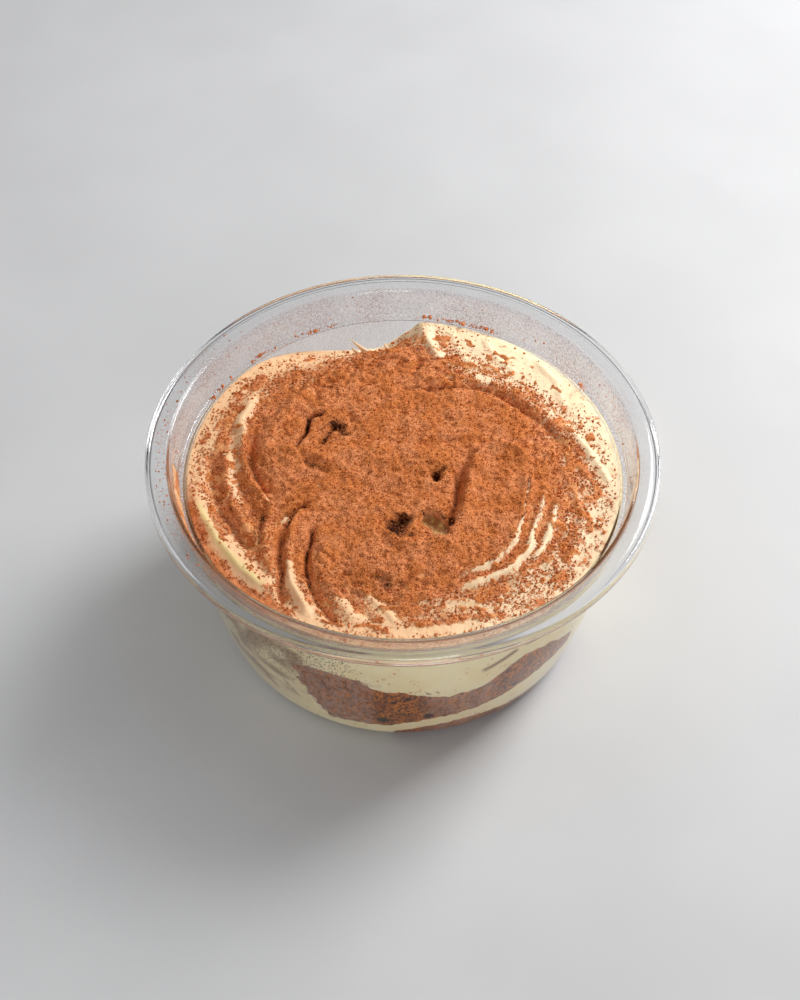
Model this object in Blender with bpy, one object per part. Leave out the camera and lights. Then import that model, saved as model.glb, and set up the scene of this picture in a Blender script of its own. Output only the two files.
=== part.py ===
"""Tiramisu in a clear round tub.

The tub is a thin turned shell with a wide flange. Inside it, from the floor up, lie a thin soaked
sponge, a cream layer, a thick soaked sponge that touches the wall in places, the swirled top cream
and a blanket of cocoa. The origin is at the middle of the tub's underside, and +Z is up.
Sizes are in millimetres and are turned into metres when a mesh is made.
"""
import math

import bpy
import numpy as np

MM = 0.001

# Tub: radii of its outside, except the mouth's, and the thickness of its wall and floor
RIM_HEIGHT = 53.0
RIM_RADIUS = 58.5
MOUTH_RADIUS = 53.0
LIP_DROP = 2.5
LIP_FLARE = 0.3
LEDGE_HEIGHT = 44.9
LEDGE_WIDTH = 1.6
WALL_TOP_RADIUS = 50.8
WALL_FOOT_RADIUS = 44.84
WALL_BOW = 1.57
BASE_CORNER = 3.7
WALL = 0.7
FLOOR = 0.8
TUB_SEGMENTS = 56

# Fillings
GAP = 0.3
WALL_GAP = 0.35
GRID = 2.1
CREAM_LEVEL = 44.3
CREAM_DOME = 1.3
CREAM_ROLL_FROM = 38.0
CREAM_ROLL_WIDTH = 11.0
SOFTEN = 1.4
COCOA_EDGE = 0.35
COCOA_THICK = 0.85
COCOA_RINGS = 16
BARE_RINGS = 7
FILL_REACH = 45.0
FILL_COUNTS = (12, 30, 60)
SEAM_LEVEL = 17.5
SEAM_SLOPE = 0.1
SPONGE_SEGMENTS = 44
SLAB_POWER = 8.0
FLAT_TILT = 34.0
POLE_TILT = 66.0
POLE_DRAW = 0.62
ROOM_DROP = 2.0
PAST_WALL = 3.0
PAST_RISE = 0.12

# The hollow where the cream has pulled away from the back wall: depth, direction, how far it runs
# to the left and to the right, and the direction of the torn edge that ends it, in degrees
HOLLOW_DEPTH = 8.9
HOLLOW_AT = 99.0
HOLLOW_LEFT = 48.0
HOLLOW_RIGHT = 20.0
HOLLOW_TEAR = 84.5

# Corners of the cocoa's outline: distance from the axis every 30 degrees, from +X round
COCOA_OUTLINE = (35.0, 36.5, 34.0, 41.0, 37.5, 38.5, 37.0, 34.5, 36.5, 40.0, 35.5, 33.5)

# Folds of the top cream, seen from above. Each has a centre line, its half width on the left and
# on the right of that line, and its height; a negative height is a groove or a pit.
FOLDS = (
    (((-35, 25), (-38, 15), (-37.6, 5), (-35.8, -3), (-32.8, -9), (-30, -14)), 1.7, 2.8, 1.5),
    (((-41, 7), (-41, -2), (-39, -10), (-36, -17), (-32, -24)), 2.8, 1.8, 1.1),
    (((-45, 7), (-44, -5), (-41, -13), (-37, -19.5), (-32, -26)), 2.2, 2.2, -1.0),
    (((-48, -4), (-45.5, -14), (-40, -23), (-33, -31), (-27, -37)), 2.6, 3.0, 0.9),
    (((-35.5, 12), (-35.2, 4), (-33.6, -4), (-31, -9)), 1.6, 2.0, -1.4),
    (((-33, 1), (-31, 10), (-26.5, 19.5), (-22.5, 25.5), (-18, 29.3), (-11, 30.5)), 3.4, 2.4, 1.0),
    (((-15, -6.4), (-22.6, -7.6), (-27.5, -10.5), (-30, -15.5), (-30.4, -24), (-28.6, -33)), 2.2, 2.2, 0.9),
    (((-27, -15), (-27.2, -24), (-26.5, -32), (-25.5, -40)), 1.5, 1.5, -1.4),
    (((-21.6, -13.4), (-23.8, -16), (-25, -20), (-25.2, -28), (-23.6, -35), (-19, -44)), 1.6, 1.6, 1.1),
    (((-19.4, -18), (-20.9, -22.8), (-20.8, -30), (-18.6, -37), (-14, -45)), 1.4, 1.4, -1.5),
    (((-17.5, -22), (-17.5, -30), (-14.5, -37), (-9, -45)), 2.6, 2.6, 0.8),
    (((-25.2, 4), (-23.6, 10), (-22, 15), (-19, 16.4)), 1.0, 1.0, -2.0),
    (((-20, 5), (-17.3, 10), (-14.8, 12), (-13, 8)), 1.5, 1.5, -2.0),
    (((-26.4, -18.6), (-24.2, -14.4), (-21.4, -11.4)), 1.1, 1.1, -1.8),
    (((-32, 3), (-25, 3.7), (-20.8, 1.4), (-16, -1)), 2.8, 1.5, 0.8),
    (((-23.4, 0.8), (-20.6, -1.4), (-17, -2.8)), 2.0, 1.3, -0.9),
    (((-35, 1), (-30, 3.2), (-22, 4.2), (-15, 2.4), (-5, 3.8), (3, 3), (10, 1), (14, -1)), 3.2, 13.0, 1.2),
    (((0.5, 5), (6.5, 8), (14, 8.8), (21, 9.6)), 3.4, 1.6, 0.6),
    (((-4.5, -20), (0.5, -23.2), (6, -23.2), (10.2, -20.8), (13.4, -16), (14.8, -9)), 2.4, 4.4, 1.4),
    (((13.9, -14), (14.9, -8), (15.8, -2), (17.8, 3), (22, 5.8), (26.8, 4.4), (30, 0)), 2.4, 4.4, 1.4),
    (((14.4, 1), (12.9, -5), (12.2, -10), (11.4, -14), (9.4, -19)), 1.6, 2.2, -1.6),
    (((3.6, -14.6), (7.6, -15.6), (8.4, -19)), 3.0, 3.0, -2.6),
    (((0.4, -13.8), (-0.4, -17), (-2.6, -19.2)), 2.3, 2.3, -2.6),
    (((6.8, -2.6), (8, -5.4)), 1.5, 1.5, -2.4),
    (((-1, 24.2), (8, 25.6), (15.7, 26.3), (20.5, 25), (25.7, 21.5), (34.5, 12.3), (38, 5)), 1.2, 2.6, -1.3),
    (((0, 28), (8, 29), (16, 29), (23, 26.6), (30, 21), (36, 13.6), (41, 4)), 4.0, 1.8, 0.9),
    (((29.4, -0.5), (28.4, -8), (26.6, -17), (22.8, -24.6), (17, -29.4), (10.6, -32.2)), 1.4, 2.8, 0.9),
    (((33, -5), (31.6, -12), (29.6, -18.5), (27, -25.4), (21, -31.4), (11.5, -35.4)), 1.3, 2.4, 0.8),
    (((36.6, -7), (34.4, -15), (32, -21), (28, -28.5), (21, -35)), 1.3, 2.4, 0.7),
    (((38, 14), (42, 8.5), (45.5, 2), (48, -5)), 1.4, 2.0, 0.7),
    (((4.4, 49), (5.6, 43), (8, 36)), 3.0, 1.0, 0.9),
)

TUB_LOOK = ((0.86, 0.88, 0.89, 1.0), 0.08)
CREAM_LOOK = ((0.93, 0.78, 0.55, 1.0), 0.5)
SPONGE_LOOK = ((0.30, 0.13, 0.04, 1.0), 0.85)
COCOA_LOOK = ((0.48, 0.20, 0.08, 1.0), 0.95)


def bell(distance):
    """One at zero, falling smoothly to nothing at a distance of one."""
    return 0.5 * (1.0 + np.cos(np.pi * np.clip(np.abs(distance), 0.0, 1.0)))


def ramp(value):
    """A smooth step from zero at zero to one at one."""
    t = np.clip(value, 0.0, 1.0)
    return t * t * (3.0 - 2.0 * t)


def turn_from(angle, centre):
    """Signed angle from a direction, in degrees, for angles in radians."""
    return (np.degrees(angle) - centre + 180.0) % 360.0 - 180.0


def window(angle, start, end, soft=8.0):
    """One between two directions in degrees, falling to zero over the soft margin at each end."""
    half = (end - start) / 2.0
    off = np.abs(turn_from(angle, start + half))
    return ramp((half - off) / soft + 0.5)


# Tub profile

def body_radius(z):
    """Outer radius of the bowed wall, before the base corner is rounded."""
    t = np.clip(z / LEDGE_HEIGHT, 0.0, 1.0)
    taper = (WALL_TOP_RADIUS - WALL_FOOT_RADIUS) * t
    return WALL_FOOT_RADIUS + taper + 4.0 * WALL_BOW * t * (1.0 - t)


def rounding(height, corner):
    """How far a rounded corner pulls the wall in, at a height above its lowest point."""
    below = np.clip(corner - height, 0.0, corner)
    return corner - np.sqrt(corner ** 2 - below ** 2)


def outer_radius(z):
    return body_radius(z) - rounding(z, BASE_CORNER)


def inner_radius(z):
    return body_radius(z) - WALL - rounding(z - FLOOR, BASE_CORNER - WALL)


def fill_radius(z):
    """Outline of what fills the tub, at a height."""
    return inner_radius(z) - WALL_GAP


def tub_profile():
    """Points from the middle of the underside, out and up, over the flange, down and in."""
    collar_foot = WALL_TOP_RADIUS - WALL + LEDGE_WIDTH
    top = RIM_HEIGHT
    under = top - WALL
    lip_end = top - LIP_DROP
    outside = [(outer_radius(z), z) for z in (0.0, 0.35, 1.6, BASE_CORNER, 13.0, 24.0, 35.0)]
    ledge_under = [(WALL_TOP_RADIUS, LEDGE_HEIGHT - WALL), (collar_foot + WALL, LEDGE_HEIGHT - WALL)]
    flange_under = [(MOUTH_RADIUS + WALL, under), (RIM_RADIUS - WALL, under)]
    lip = [(RIM_RADIUS - WALL + LIP_FLARE, lip_end), (RIM_RADIUS + LIP_FLARE, lip_end)]
    flange_top = [(RIM_RADIUS, top - 0.4), (RIM_RADIUS - 0.4, top), (MOUTH_RADIUS + 0.4, top)]
    collar = [(MOUTH_RADIUS, top - 0.4), (collar_foot, LEDGE_HEIGHT)]
    shoulder = [(collar_foot - LEDGE_WIDTH + 0.2, LEDGE_HEIGHT), (inner_radius(44.4), 44.4)]
    inside = [(inner_radius(z), z) for z in (35.0, 24.0, 13.0, 3.9, 1.9, 1.1, FLOOR)]
    return outside + ledge_under + flange_under + lip + flange_top + collar + shoulder + inside


# Top cream relief

def smooth_line(points, steps=24):
    """Points on a Catmull-Rom curve through the given points."""
    p = np.array(points, float)
    p = np.vstack([2.0 * p[0] - p[1], p, 2.0 * p[-1] - p[-2]])
    out = []
    for s in np.linspace(0.0, len(p) - 3.0 - 1e-9, steps + 1):
        k = int(s)
        t = s - k
        a, b, c, d = p[k], p[k + 1], p[k + 2], p[k + 3]
        out.append(0.5 * (2.0 * b + (c - a) * t + (2.0 * a - 5.0 * b + 4.0 * c - d) * t ** 2
                          + (3.0 * b - a - 3.0 * c + d) * t ** 3))
    return np.array(out)


def fold_height(x, y, points, left, right, height):
    """Relief of one fold: a rounded ridge or groove along its line, fading out at both ends."""
    line = smooth_line(points)
    start = line[:-1]
    run = line[1:] - start
    px = x[..., None] - start[:, 0]
    py = y[..., None] - start[:, 1]
    t = np.clip((px * run[:, 0] + py * run[:, 1]) / (run ** 2).sum(1), 0.0, 1.0)
    dx = px - t * run[:, 0]
    dy = py - t * run[:, 1]
    distance = np.hypot(dx, dy)
    nearest = distance.argmin(-1)[..., None]

    def pick(values):
        return np.take_along_axis(values, nearest, -1)[..., 0]

    side = run[nearest[..., 0], 0] * pick(dy) - run[nearest[..., 0], 1] * pick(dx)
    width = np.where(side > 0.0, left, right)
    along = (nearest[..., 0] + pick(t)) / len(run)
    ends = ramp(np.minimum(along, 1.0 - along) / 0.12)
    return height * bell(pick(distance) / width) * ends


def hollow_depth(angle):
    """How far the cream hangs below its level at the wall, in each direction."""
    off = turn_from(angle, HOLLOW_AT)
    depth = bell(np.where(off > 0.0, off / HOLLOW_LEFT, off / HOLLOW_RIGHT)) ** 1.4
    torn = ramp(turn_from(angle, HOLLOW_TEAR) / 3.0)
    return HOLLOW_DEPTH * depth * torn


def cream_relief(x, y):
    """Height of the cream's surface above the tub's underside, with every fold sharp."""
    radius = np.hypot(x, y)
    angle = np.arctan2(y, x)
    level = CREAM_LEVEL + CREAM_DOME * (1.0 - (radius / WALL_TOP_RADIUS) ** 2)
    level = level - hollow_depth(angle) * ramp((radius - CREAM_ROLL_FROM) / CREAM_ROLL_WIDTH)
    for points, left, right, height in FOLDS:
        level = level + fold_height(x, y, points, left, right, height)
    return level


def cream_top(x, y):
    """The cream's surface, softened to what the grid can follow."""
    total = cream_relief(x, y)
    for a in angles(6):
        total = total + cream_relief(x + SOFTEN * math.cos(a), y + SOFTEN * math.sin(a))
    return total / 7.0


def cocoa_radius(angle):
    """Distance of the cocoa's edge from the axis, smooth round the circle."""
    count = len(COCOA_OUTLINE)
    s = (angle / (2.0 * np.pi) * count) % count
    k = s.astype(int) % count
    t = ramp(s - np.floor(s))
    ring = np.array(COCOA_OUTLINE)
    return ring[k] * (1.0 - t) + ring[(k + 1) % count] * t


# Sponges

def mound(x, y, centre_x, centre_y, radius, height):
    """A soft round rise, or a dip if its height is negative."""
    return height * bell(np.hypot(x - centre_x, y - centre_y) / radius)


def middle_top(x, y):
    level = 28.0 + mound(x, y, 12, -48, 16, -4.0) + mound(x, y, 27, -40, 14, 3.0)
    return level + mound(x, y, -14, -46, 14, 2.0) + mound(x, y, 40, -28, 14, -5.0)


def middle_bottom(x, y):
    return 9.0 + 0.19 * x + 0.0012 * x ** 2


def middle_outline(angle):
    touch = window(angle, -116.5, -38.0) + window(angle, 8.0, 66.0) + window(angle, 108.0, 158.0)
    return 45.0 + 10.0 * touch + 0.8 * np.sin(5.0 * angle)


def bottom_top(x, y):
    return 4.4 + 0.05 * x - 0.0003 * (x ** 2 + y ** 2)


def bottom_bottom(x, y):
    return np.full_like(x, FLOOR + GAP)


def bottom_outline(angle):
    touch = window(angle, -92.0, -22.0) + window(angle, 24.0, 92.0) + window(angle, 128.0, 176.0)
    return 40.5 + 9.5 * touch + 0.6 * np.sin(4.0 * angle + 1.0)


def seam(side):
    """Surface of one of the two creams where they meet beside the thick sponge: side is -1 for the
    lower one and 1 for the upper one."""
    return lambda x, y: SEAM_LEVEL + SEAM_SLOPE * x + side * GAP / 2.0


# Mesh building

def angles(count):
    return 2.0 * np.pi * np.arange(count) / count


def bridge(first, first_count, second, second_count):
    """Triangles between two rings of points; the fuller ring steps first where both are level."""
    faces = []
    i = 0
    j = 0
    while i < first_count or j < second_count:
        next_i = (i + 1) * second_count
        next_j = (j + 1) * first_count
        step_first = next_i < next_j or (next_i == next_j and first_count >= second_count)
        if first_count == 1:
            step_first = False
        if second_count == 1:
            step_first = True
        a = first + i % first_count
        b = second + j % second_count
        if step_first and i < first_count or j >= second_count:
            faces.append((a, first + (i + 1) % first_count, b))
            i += 1
        else:
            faces.append((a, second + (j + 1) % second_count, b))
            j += 1
    return faces


def solid(name, rows, look):
    """A closed object from rings of points that run from the low middle, round, to the high middle."""
    starts = np.cumsum([0] + [len(row) for row in rows])
    faces = []
    for k in range(len(rows) - 1):
        faces += bridge(int(starts[k]), len(rows[k]), int(starts[k + 1]), len(rows[k + 1]))
    mesh = bpy.data.meshes.new(name)
    mesh.from_pydata((np.vstack(rows) * MM).tolist(), [], faces)
    mesh.update()
    mesh.shade_smooth()
    mesh.set_sharp_from_angle(angle=math.radians(50.0))
    obj = bpy.data.objects.new(name, mesh)
    bpy.context.scene.collection.objects.link(obj)
    obj.data.materials.append(material(name, *look))
    return obj


def material(name, colour, roughness):
    mat = bpy.data.materials.new(name)
    mat.use_nodes = True
    shader = mat.node_tree.nodes["Principled BSDF"]
    shader.inputs["Base Color"].default_value = colour
    shader.inputs["Roughness"].default_value = roughness
    shader.inputs["Metallic"].default_value = 0.0
    return mat


def ring(radius, height, count):
    """One ring of points; radius and height may be functions of the angle and of x and y."""
    a = angles(count)
    r = radius(a) if callable(radius) else np.full(count, float(radius))
    x = r * np.cos(a)
    y = r * np.sin(a)
    z = height(x, y) if callable(height) else np.full(count, float(height))
    return np.stack([x, y, z], 1)


def middle_point(height):
    return ring(0.0, height, 1)


def ring_count(radius, spacing):
    return max(6, int(round(2.0 * np.pi * radius / spacing)))


def surface_rings(height, to_ring=COCOA_RINGS + BARE_RINGS):
    """Rings of the cream's own grid, which the cocoa shares: evenly out to the cocoa's edge,
    then evenly on to the wall."""
    edge = float(fill_radius(CREAM_LEVEL))
    mean = sum(COCOA_OUTLINE) / len(COCOA_OUTLINE)
    out = []
    for k in range(1, to_ring + 1):
        if k <= COCOA_RINGS:
            share = k / COCOA_RINGS
            count = ring_count(mean * share, GRID)
            radius = (lambda a, s=share: s * cocoa_radius(a))
        else:
            share = (k - COCOA_RINGS) / BARE_RINGS
            count = ring_count(mean + (edge - mean) * share, GRID)
            radius = (lambda a, s=share: cocoa_radius(a) + (edge - cocoa_radius(a)) * s)
        out.append(ring(radius, height, count))
    return out


def low_rings(low):
    """Rings of a filling's low surface, short of the wall."""
    steps = len(FILL_COUNTS) + 1
    return [ring(FILL_REACH * (k + 1) / steps, low, count) for k, count in enumerate(FILL_COUNTS)]


def wall_ring(level):
    """The ring of points where a level meets the outline of what fills the tub."""
    a = angles(FILL_COUNTS[-1])
    r = np.full(len(a), FILL_REACH)
    for _ in range(3):
        z = level(r * np.cos(a), r * np.sin(a))
        r = fill_radius(z)
    return np.stack([r * np.cos(a), r * np.sin(a), z], 1)


def filling(name, low, top_rows, look):
    """Cream that fills the tub out to the wall, from a low surface up to the given top rings."""
    edge = top_rows[-1]
    edge_angle = np.arctan2(edge[:, 1], edge[:, 0]) % (2.0 * np.pi)

    def between(share):
        def level(x, y):
            top = np.interp(np.arctan2(y, x) % (2.0 * np.pi), edge_angle, edge[:, 2], period=2.0 * np.pi)
            return low(x, y) + (top - low(x, y)) * share
        return level

    side = [wall_ring(between(share)) for share in (0.0, 0.35, 0.7)]
    rows = [middle_point(low)] + low_rings(low) + side + top_rows[::-1]
    return solid(name, rows + [top_rows[0].mean(0, keepdims=True)], look)


def slab(name, outline, low, high, look, swell=0.0, drop=0.0):
    """A soft-edged slab between two surfaces. With no swell it stops at the wall; with a swell it
    is the slightly larger shape that the cream leaves room for, and with a drop its lower half
    goes straight down by that much."""
    counts = [10, 22, 36] + [SPONGE_SEGMENTS] * 6 + [36, 22, 10]
    tilt = np.radians([-POLE_TILT, -50, -FLAT_TILT, -20, -9, -2.5, 2.5, 9, 20, FLAT_TILT, 50, POLE_TILT])
    rows = []
    for count, phi in zip(counts, tilt):
        a = angles(count)
        straight = drop > 0.0 and phi < 0.0
        reach = 1.0 if straight else abs(math.cos(phi)) ** (2.0 / SLAB_POWER)
        rise = math.copysign(abs(math.sin(phi)) ** (2.0 / SLAB_POWER), phi)
        free = outline(a) * reach * slab_spread(phi)
        r = free
        for _ in range(3):
            x = r * np.cos(a)
            y = r * np.sin(a)
            half = (high(x, y) - low(x, y)) / 2.0
            z = (high(x, y) + low(x, y)) / 2.0 + half * rise
            r = np.minimum(free, fill_radius(z))
        if swell > 0.0:
            past = np.minimum(free - r, PAST_WALL)
            r = r + swell * reach + past
            z = z + (swell + past * PAST_RISE) * rise
        if straight:
            z = z - drop
        rows.append(np.stack([r * np.cos(a), r * np.sin(a), z], 1))
    low_point = middle_point(low)
    high_point = middle_point(high)
    low_point[:, 2] -= swell + drop
    high_point[:, 2] += swell
    return solid(name, [low_point] + rows + [high_point], look)


def slab_spread(phi):
    """Draws the rings near the poles inwards, so that the flat faces are evenly divided."""
    steep = abs(math.degrees(phi))
    return 1.0 - POLE_DRAW * max(0.0, (steep - FLAT_TILT) / (POLE_TILT - FLAT_TILT))


def cut(target, cutter):
    """Leaves room in one solid for another, and keeps the cutter out of sight."""
    cutter.hide_render = True
    cutter.display_type = "WIRE"
    cutter.hide_set(True)
    step = target.modifiers.new("room_for_" + cutter.name, "BOOLEAN")
    step.operation = "DIFFERENCE"
    step.object = cutter
    step.solver = "EXACT"


def build_tub():
    rows = [ring(r, z, TUB_SEGMENTS) for r, z in tub_profile()]
    solid("tub", [middle_point(0.0)] + rows + [middle_point(FLOOR)], TUB_LOOK)


def build_cocoa():
    """The cocoa lies a hair above the cream, on the cream's own grid, thin at its edge."""
    def under(x, y):
        return cream_top(x, y) + GAP

    def over(x, y):
        inward = 1.0 - np.hypot(x, y) / cocoa_radius(np.arctan2(y, x))
        lumps = 0.12 * np.sin(0.9 * x + 1.0) * np.sin(0.8 * y)
        thick = COCOA_EDGE + (COCOA_THICK - COCOA_EDGE + lumps) * ramp(inward / 0.3)
        return under(x, y) + thick

    low_rows = surface_rings(under, to_ring=COCOA_RINGS)
    high_rows = surface_rings(over, to_ring=COCOA_RINGS)
    rows = [middle_point(under)] + low_rows + high_rows[::-1] + [middle_point(over)]
    solid("cocoa_powder", rows, COCOA_LOOK)


def build_layers():
    """The two sponges, and the two creams with room left for them."""
    slab("bottom_sponge", bottom_outline, bottom_bottom, bottom_top, SPONGE_LOOK)
    slab("middle_sponge", middle_outline, middle_bottom, middle_top, SPONGE_LOOK)

    low_room = slab("bottom_sponge_room", bottom_outline, bottom_bottom, bottom_top, SPONGE_LOOK,
                    GAP, ROOM_DROP)
    high_room = slab("middle_sponge_room", middle_outline, middle_bottom, middle_top, SPONGE_LOOK, GAP)
    seam_rows = low_rings(seam(-1)) + [wall_ring(seam(-1))]
    lower = filling("lower_cream", bottom_bottom, seam_rows, CREAM_LOOK)
    cut(lower, low_room)
    cut(lower, high_room)
    upper = filling("top_cream", seam(1), surface_rings(cream_top), CREAM_LOOK)
    cut(upper, high_room)


def main():
    for obj in list(bpy.data.objects):
        bpy.data.objects.remove(obj, do_unlink=True)
    build_tub()
    build_layers()
    build_cocoa()


main()
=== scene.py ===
"""Looks of a tiramisu in a clear round tub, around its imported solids.

Each filling is made again as a fine mesh of its solid's form: two soaked sponges, two creams, the
uneven cocoa blanket, loose cocoa grains, and the smear and the small peaks of cream that stick to
the tub. The tub is turned again with rounded edges. Sizes are in millimetres and are turned into
metres when a mesh is made. The origin is at the middle of the tub's underside, and +Z is up.
Directions are in degrees from +X, seen from above.
"""
import math

import bpy
import numpy as np
from mathutils import Matrix, Vector


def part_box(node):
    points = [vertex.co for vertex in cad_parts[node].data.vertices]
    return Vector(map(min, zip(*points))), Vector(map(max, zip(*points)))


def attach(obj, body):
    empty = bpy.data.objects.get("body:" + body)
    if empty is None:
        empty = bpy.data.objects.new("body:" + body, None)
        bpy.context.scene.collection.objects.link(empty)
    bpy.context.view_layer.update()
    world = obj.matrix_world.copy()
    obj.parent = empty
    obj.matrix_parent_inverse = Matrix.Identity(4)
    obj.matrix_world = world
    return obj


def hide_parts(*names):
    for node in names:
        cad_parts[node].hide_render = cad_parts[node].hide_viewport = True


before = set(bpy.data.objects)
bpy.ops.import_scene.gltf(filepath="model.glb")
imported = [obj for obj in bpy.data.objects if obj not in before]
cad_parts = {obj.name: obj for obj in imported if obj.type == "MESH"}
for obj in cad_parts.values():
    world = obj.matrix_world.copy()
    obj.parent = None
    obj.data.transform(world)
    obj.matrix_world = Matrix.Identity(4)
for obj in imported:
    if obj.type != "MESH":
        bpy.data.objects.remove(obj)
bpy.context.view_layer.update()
MM = 0.001

# Tub
RIM_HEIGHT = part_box("tub")[1].z / MM
MOUTH_RADIUS = 53.0
FLANGE_EDGE = 58.5
LEDGE_HEIGHT = 44.9
LEDGE_WIDTH = 1.6
WALL_TOP_RADIUS = 50.8
WALL_FOOT_RADIUS = 44.84
WALL_BOW = 1.57
BASE_CORNER = 3.7
WALL = 0.7
FLOOR = 0.8
TUB_SEGMENTS = 288
CORNER_POINTS = 9
WALL_POINTS = 26

# Fillings. A reach is how far a filling goes into the wall that it is pressed to.
CREAM_LEVEL = 44.3
CREAM_DOME = 1.3
CREAM_ROLL_FROM = 38.0
CREAM_ROLL_WIDTH = 11.0
CREAM_REACH = 0.12
SPONGE_REACH = 0.3
ROOM_OVERLAP = 1.2
# Spacing of a mesh's points on the surfaces that show from above and on those that are covered
FINE_STEP = 0.42
COARSE_STEP = 2.0
SIDE_SEGMENTS = 540
# Dents in the sponge's pressed side, and the ring in which its levels bend to those read at the wall
SPONGE_PORE_DEPTH = 0.16
SPONGE_BEND_FROM = 36.0
SPONGE_BEND_WIDTH = 8.0

# The cocoa blanket: how far out it reaches, its greatest thickness in the middle and further out,
# and how far it sinks under the cream's surface where the cream is bare
BED_RADIUS = 46.5
BED_THICKNESS = 1.15
THIN_BED = 0.28
DEEPEST_COCOA = -0.4

# Given every 30 degrees from +X round: how far out the thick cocoa reaches, how far out it still
# covers half of the cream, and over what distance it thins out from there
COCOA_OUTLINE = (35.0, 36.5, 34.0, 41.0, 37.5, 38.5, 37.0, 34.5, 36.5, 40.0, 35.5, 33.5)
COVER_OUTLINE = (39.6, 38.4, 34.2, 41.6, 37.4, 42.5, 43.2, 45.0, 41.4, 40.6, 40.0, 40.4)
COVER_FADE = (7.5, 5.6, 7.5, 5.5, 6.0, 6.0, 6.0, 5.5, 5.5, 6.0, 8.5, 9.0)
# Cream that shows as bare still has a trace of cocoa
LEAST_DUST = 0.10
# The cover at the outline and at a clump's middle, and the cover from which the cocoa has thickness
EDGE_COVER = 0.55
CLUMP_COVER = 0.75
HIDING_COVER = 0.72
# Further out than this, the cocoa lies in long patches, swept round the tub
SWEPT_FROM = 27.0
SWEPT_WIDTH = 8.0
# The most grains in each of the two pieces on the top, the places tried for them, the grains tried on
# each part of the tub, and the spread of their sizes and the least size
TOP_GRAINS = 9000
TOP_TRIES = 6 * TOP_GRAINS
LEDGE_GRAINS = 420
FLANGE_GRAINS = 150
COLLAR_GRAINS = 260
SIZE_SPREAD = 0.38
LEAST_GRAIN = 0.18

# The hollow where the cream has pulled away from the back wall: depth, direction, how far it runs
# to the left and to the right, and the direction of the torn edge that ends it
HOLLOW_DEPTH = 8.9
HOLLOW_AT = 99.0
HOLLOW_LEFT = 48.0
HOLLOW_RIGHT = 20.0
HOLLOW_TEAR = 84.5

# Folds of the top cream, seen from above: the x and y of each point of the centre line, half width
# on its left and on its right, and height. A negative height is a groove or a pit.
FOLDS = (
    ((-35, 25, -38, 15, -37.6, 5, -35.8, -3, -32.8, -9, -30, -14), 1.7, 2.8, 1.5),
    ((-41, 7, -41, -2, -39, -10, -36, -17, -32, -24), 2.8, 1.8, 1.1),
    ((-45, 7, -44, -5, -41, -13, -37, -19.5, -32, -26), 2.2, 2.2, -1.0),
    ((-48, -4, -45.5, -14, -40, -23, -33, -31, -27, -37), 2.6, 3.0, 0.9),
    ((-35.5, 12, -35.2, 4, -33.6, -4, -31, -9), 1.6, 2.0, -1.4),
    ((-33, 1, -31, 10, -26.5, 19.5, -22.5, 25.5, -18, 29.3, -11, 30.5), 3.4, 2.4, 1.0),
    ((-15, -6.4, -22.6, -7.6, -27.5, -10.5, -30, -15.5, -30.4, -24, -28.6, -33), 2.2, 2.2, 0.9),
    ((-27, -15, -27.2, -24, -26.5, -32, -25.5, -40), 1.5, 1.5, -1.4),
    ((-21.6, -13.4, -23.8, -16, -25, -20, -25.2, -28, -23.6, -35, -19, -44), 1.6, 1.6, 1.1),
    ((-19.4, -18, -20.9, -22.8, -20.8, -30, -18.6, -37, -14, -45), 1.4, 1.4, -1.5),
    ((-17.5, -22, -17.5, -30, -14.5, -37, -9, -45), 2.6, 2.6, 0.8),
    ((-25.2, 4, -23.6, 10, -22, 15, -19, 16.4), 1.0, 1.0, -2.0),
    ((-20, 5, -17.3, 10, -14.8, 12, -13, 8), 1.3, 1.3, -1.1),
    ((-26.4, -18.6, -24.2, -14.4, -21.4, -11.4), 1.1, 1.1, -1.8),
    ((-32, 3, -25, 3.7, -20.8, 1.4, -16, -1), 2.8, 1.5, 0.8),
    ((-23.4, 0.8, -20.6, -1.4, -17, -2.8), 1.6, 1.2, -0.6),
    ((-35, 1, -30, 3.2, -22, 4.2, -15, 2.4, -5, 3.8, 3, 3, 10, 1, 14, -1), 3.2, 13.0, 1.2),
    ((0.5, 5, 6.5, 8, 14, 8.8, 21, 9.6), 3.4, 1.6, 0.4),
    ((-4.5, -20, 0.5, -23.2, 6, -23.2, 10.2, -20.8, 13.4, -16, 14.8, -9), 2.4, 4.4, 0.8),
    ((13.9, -14, 14.9, -8, 15.8, -2, 17.8, 3, 22, 5.8, 26.8, 4.4, 30, 0), 2.2, 6.0, 1.1),
    ((14.4, 1, 12.9, -5, 12.2, -10, 11.4, -14, 9.4, -19), 1.6, 2.2, -1.6),
    ((4, -15.6, 7.2, -16.6, 8, -19), 3.2, 3.2, -2.2),
    ((0, -14.6, -1, -17.6, -3, -20), 3.2, 3.2, -2.2),
    ((6.8, -2.6, 8, -5.4), 1.5, 1.5, -2.4),
    ((-1, 24.2, 8, 25.6, 15.7, 26.3, 20.5, 25, 25.7, 21.5, 34.5, 12.3, 38, 5), 1.2, 2.6, -0.7),
    ((0, 28, 8, 29, 16, 29, 23, 26.6, 30, 21, 36, 13.6, 41, 4), 4.0, 1.8, 0.6),
    ((29.4, -0.5, 28.4, -8, 26.6, -17, 22.8, -24.6, 17, -29.4, 10.6, -32.2), 1.4, 2.8, 0.9),
    ((33, -5, 31.6, -12, 29.6, -18.5, 27, -25.4, 21, -31.4, 11.5, -35.4), 1.3, 2.4, 0.8),
    ((36.6, -7, 34.4, -15, 32, -21, 28, -28.5, 21, -35), 1.3, 2.4, 0.7),
    ((38, 14, 42, 8.5, 45.5, 2, 48, -5), 1.4, 2.0, 0.5),
    ((4.4, 49, 5.6, 43, 8, 36), 3.0, 1.0, 0.9),
)
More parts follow.
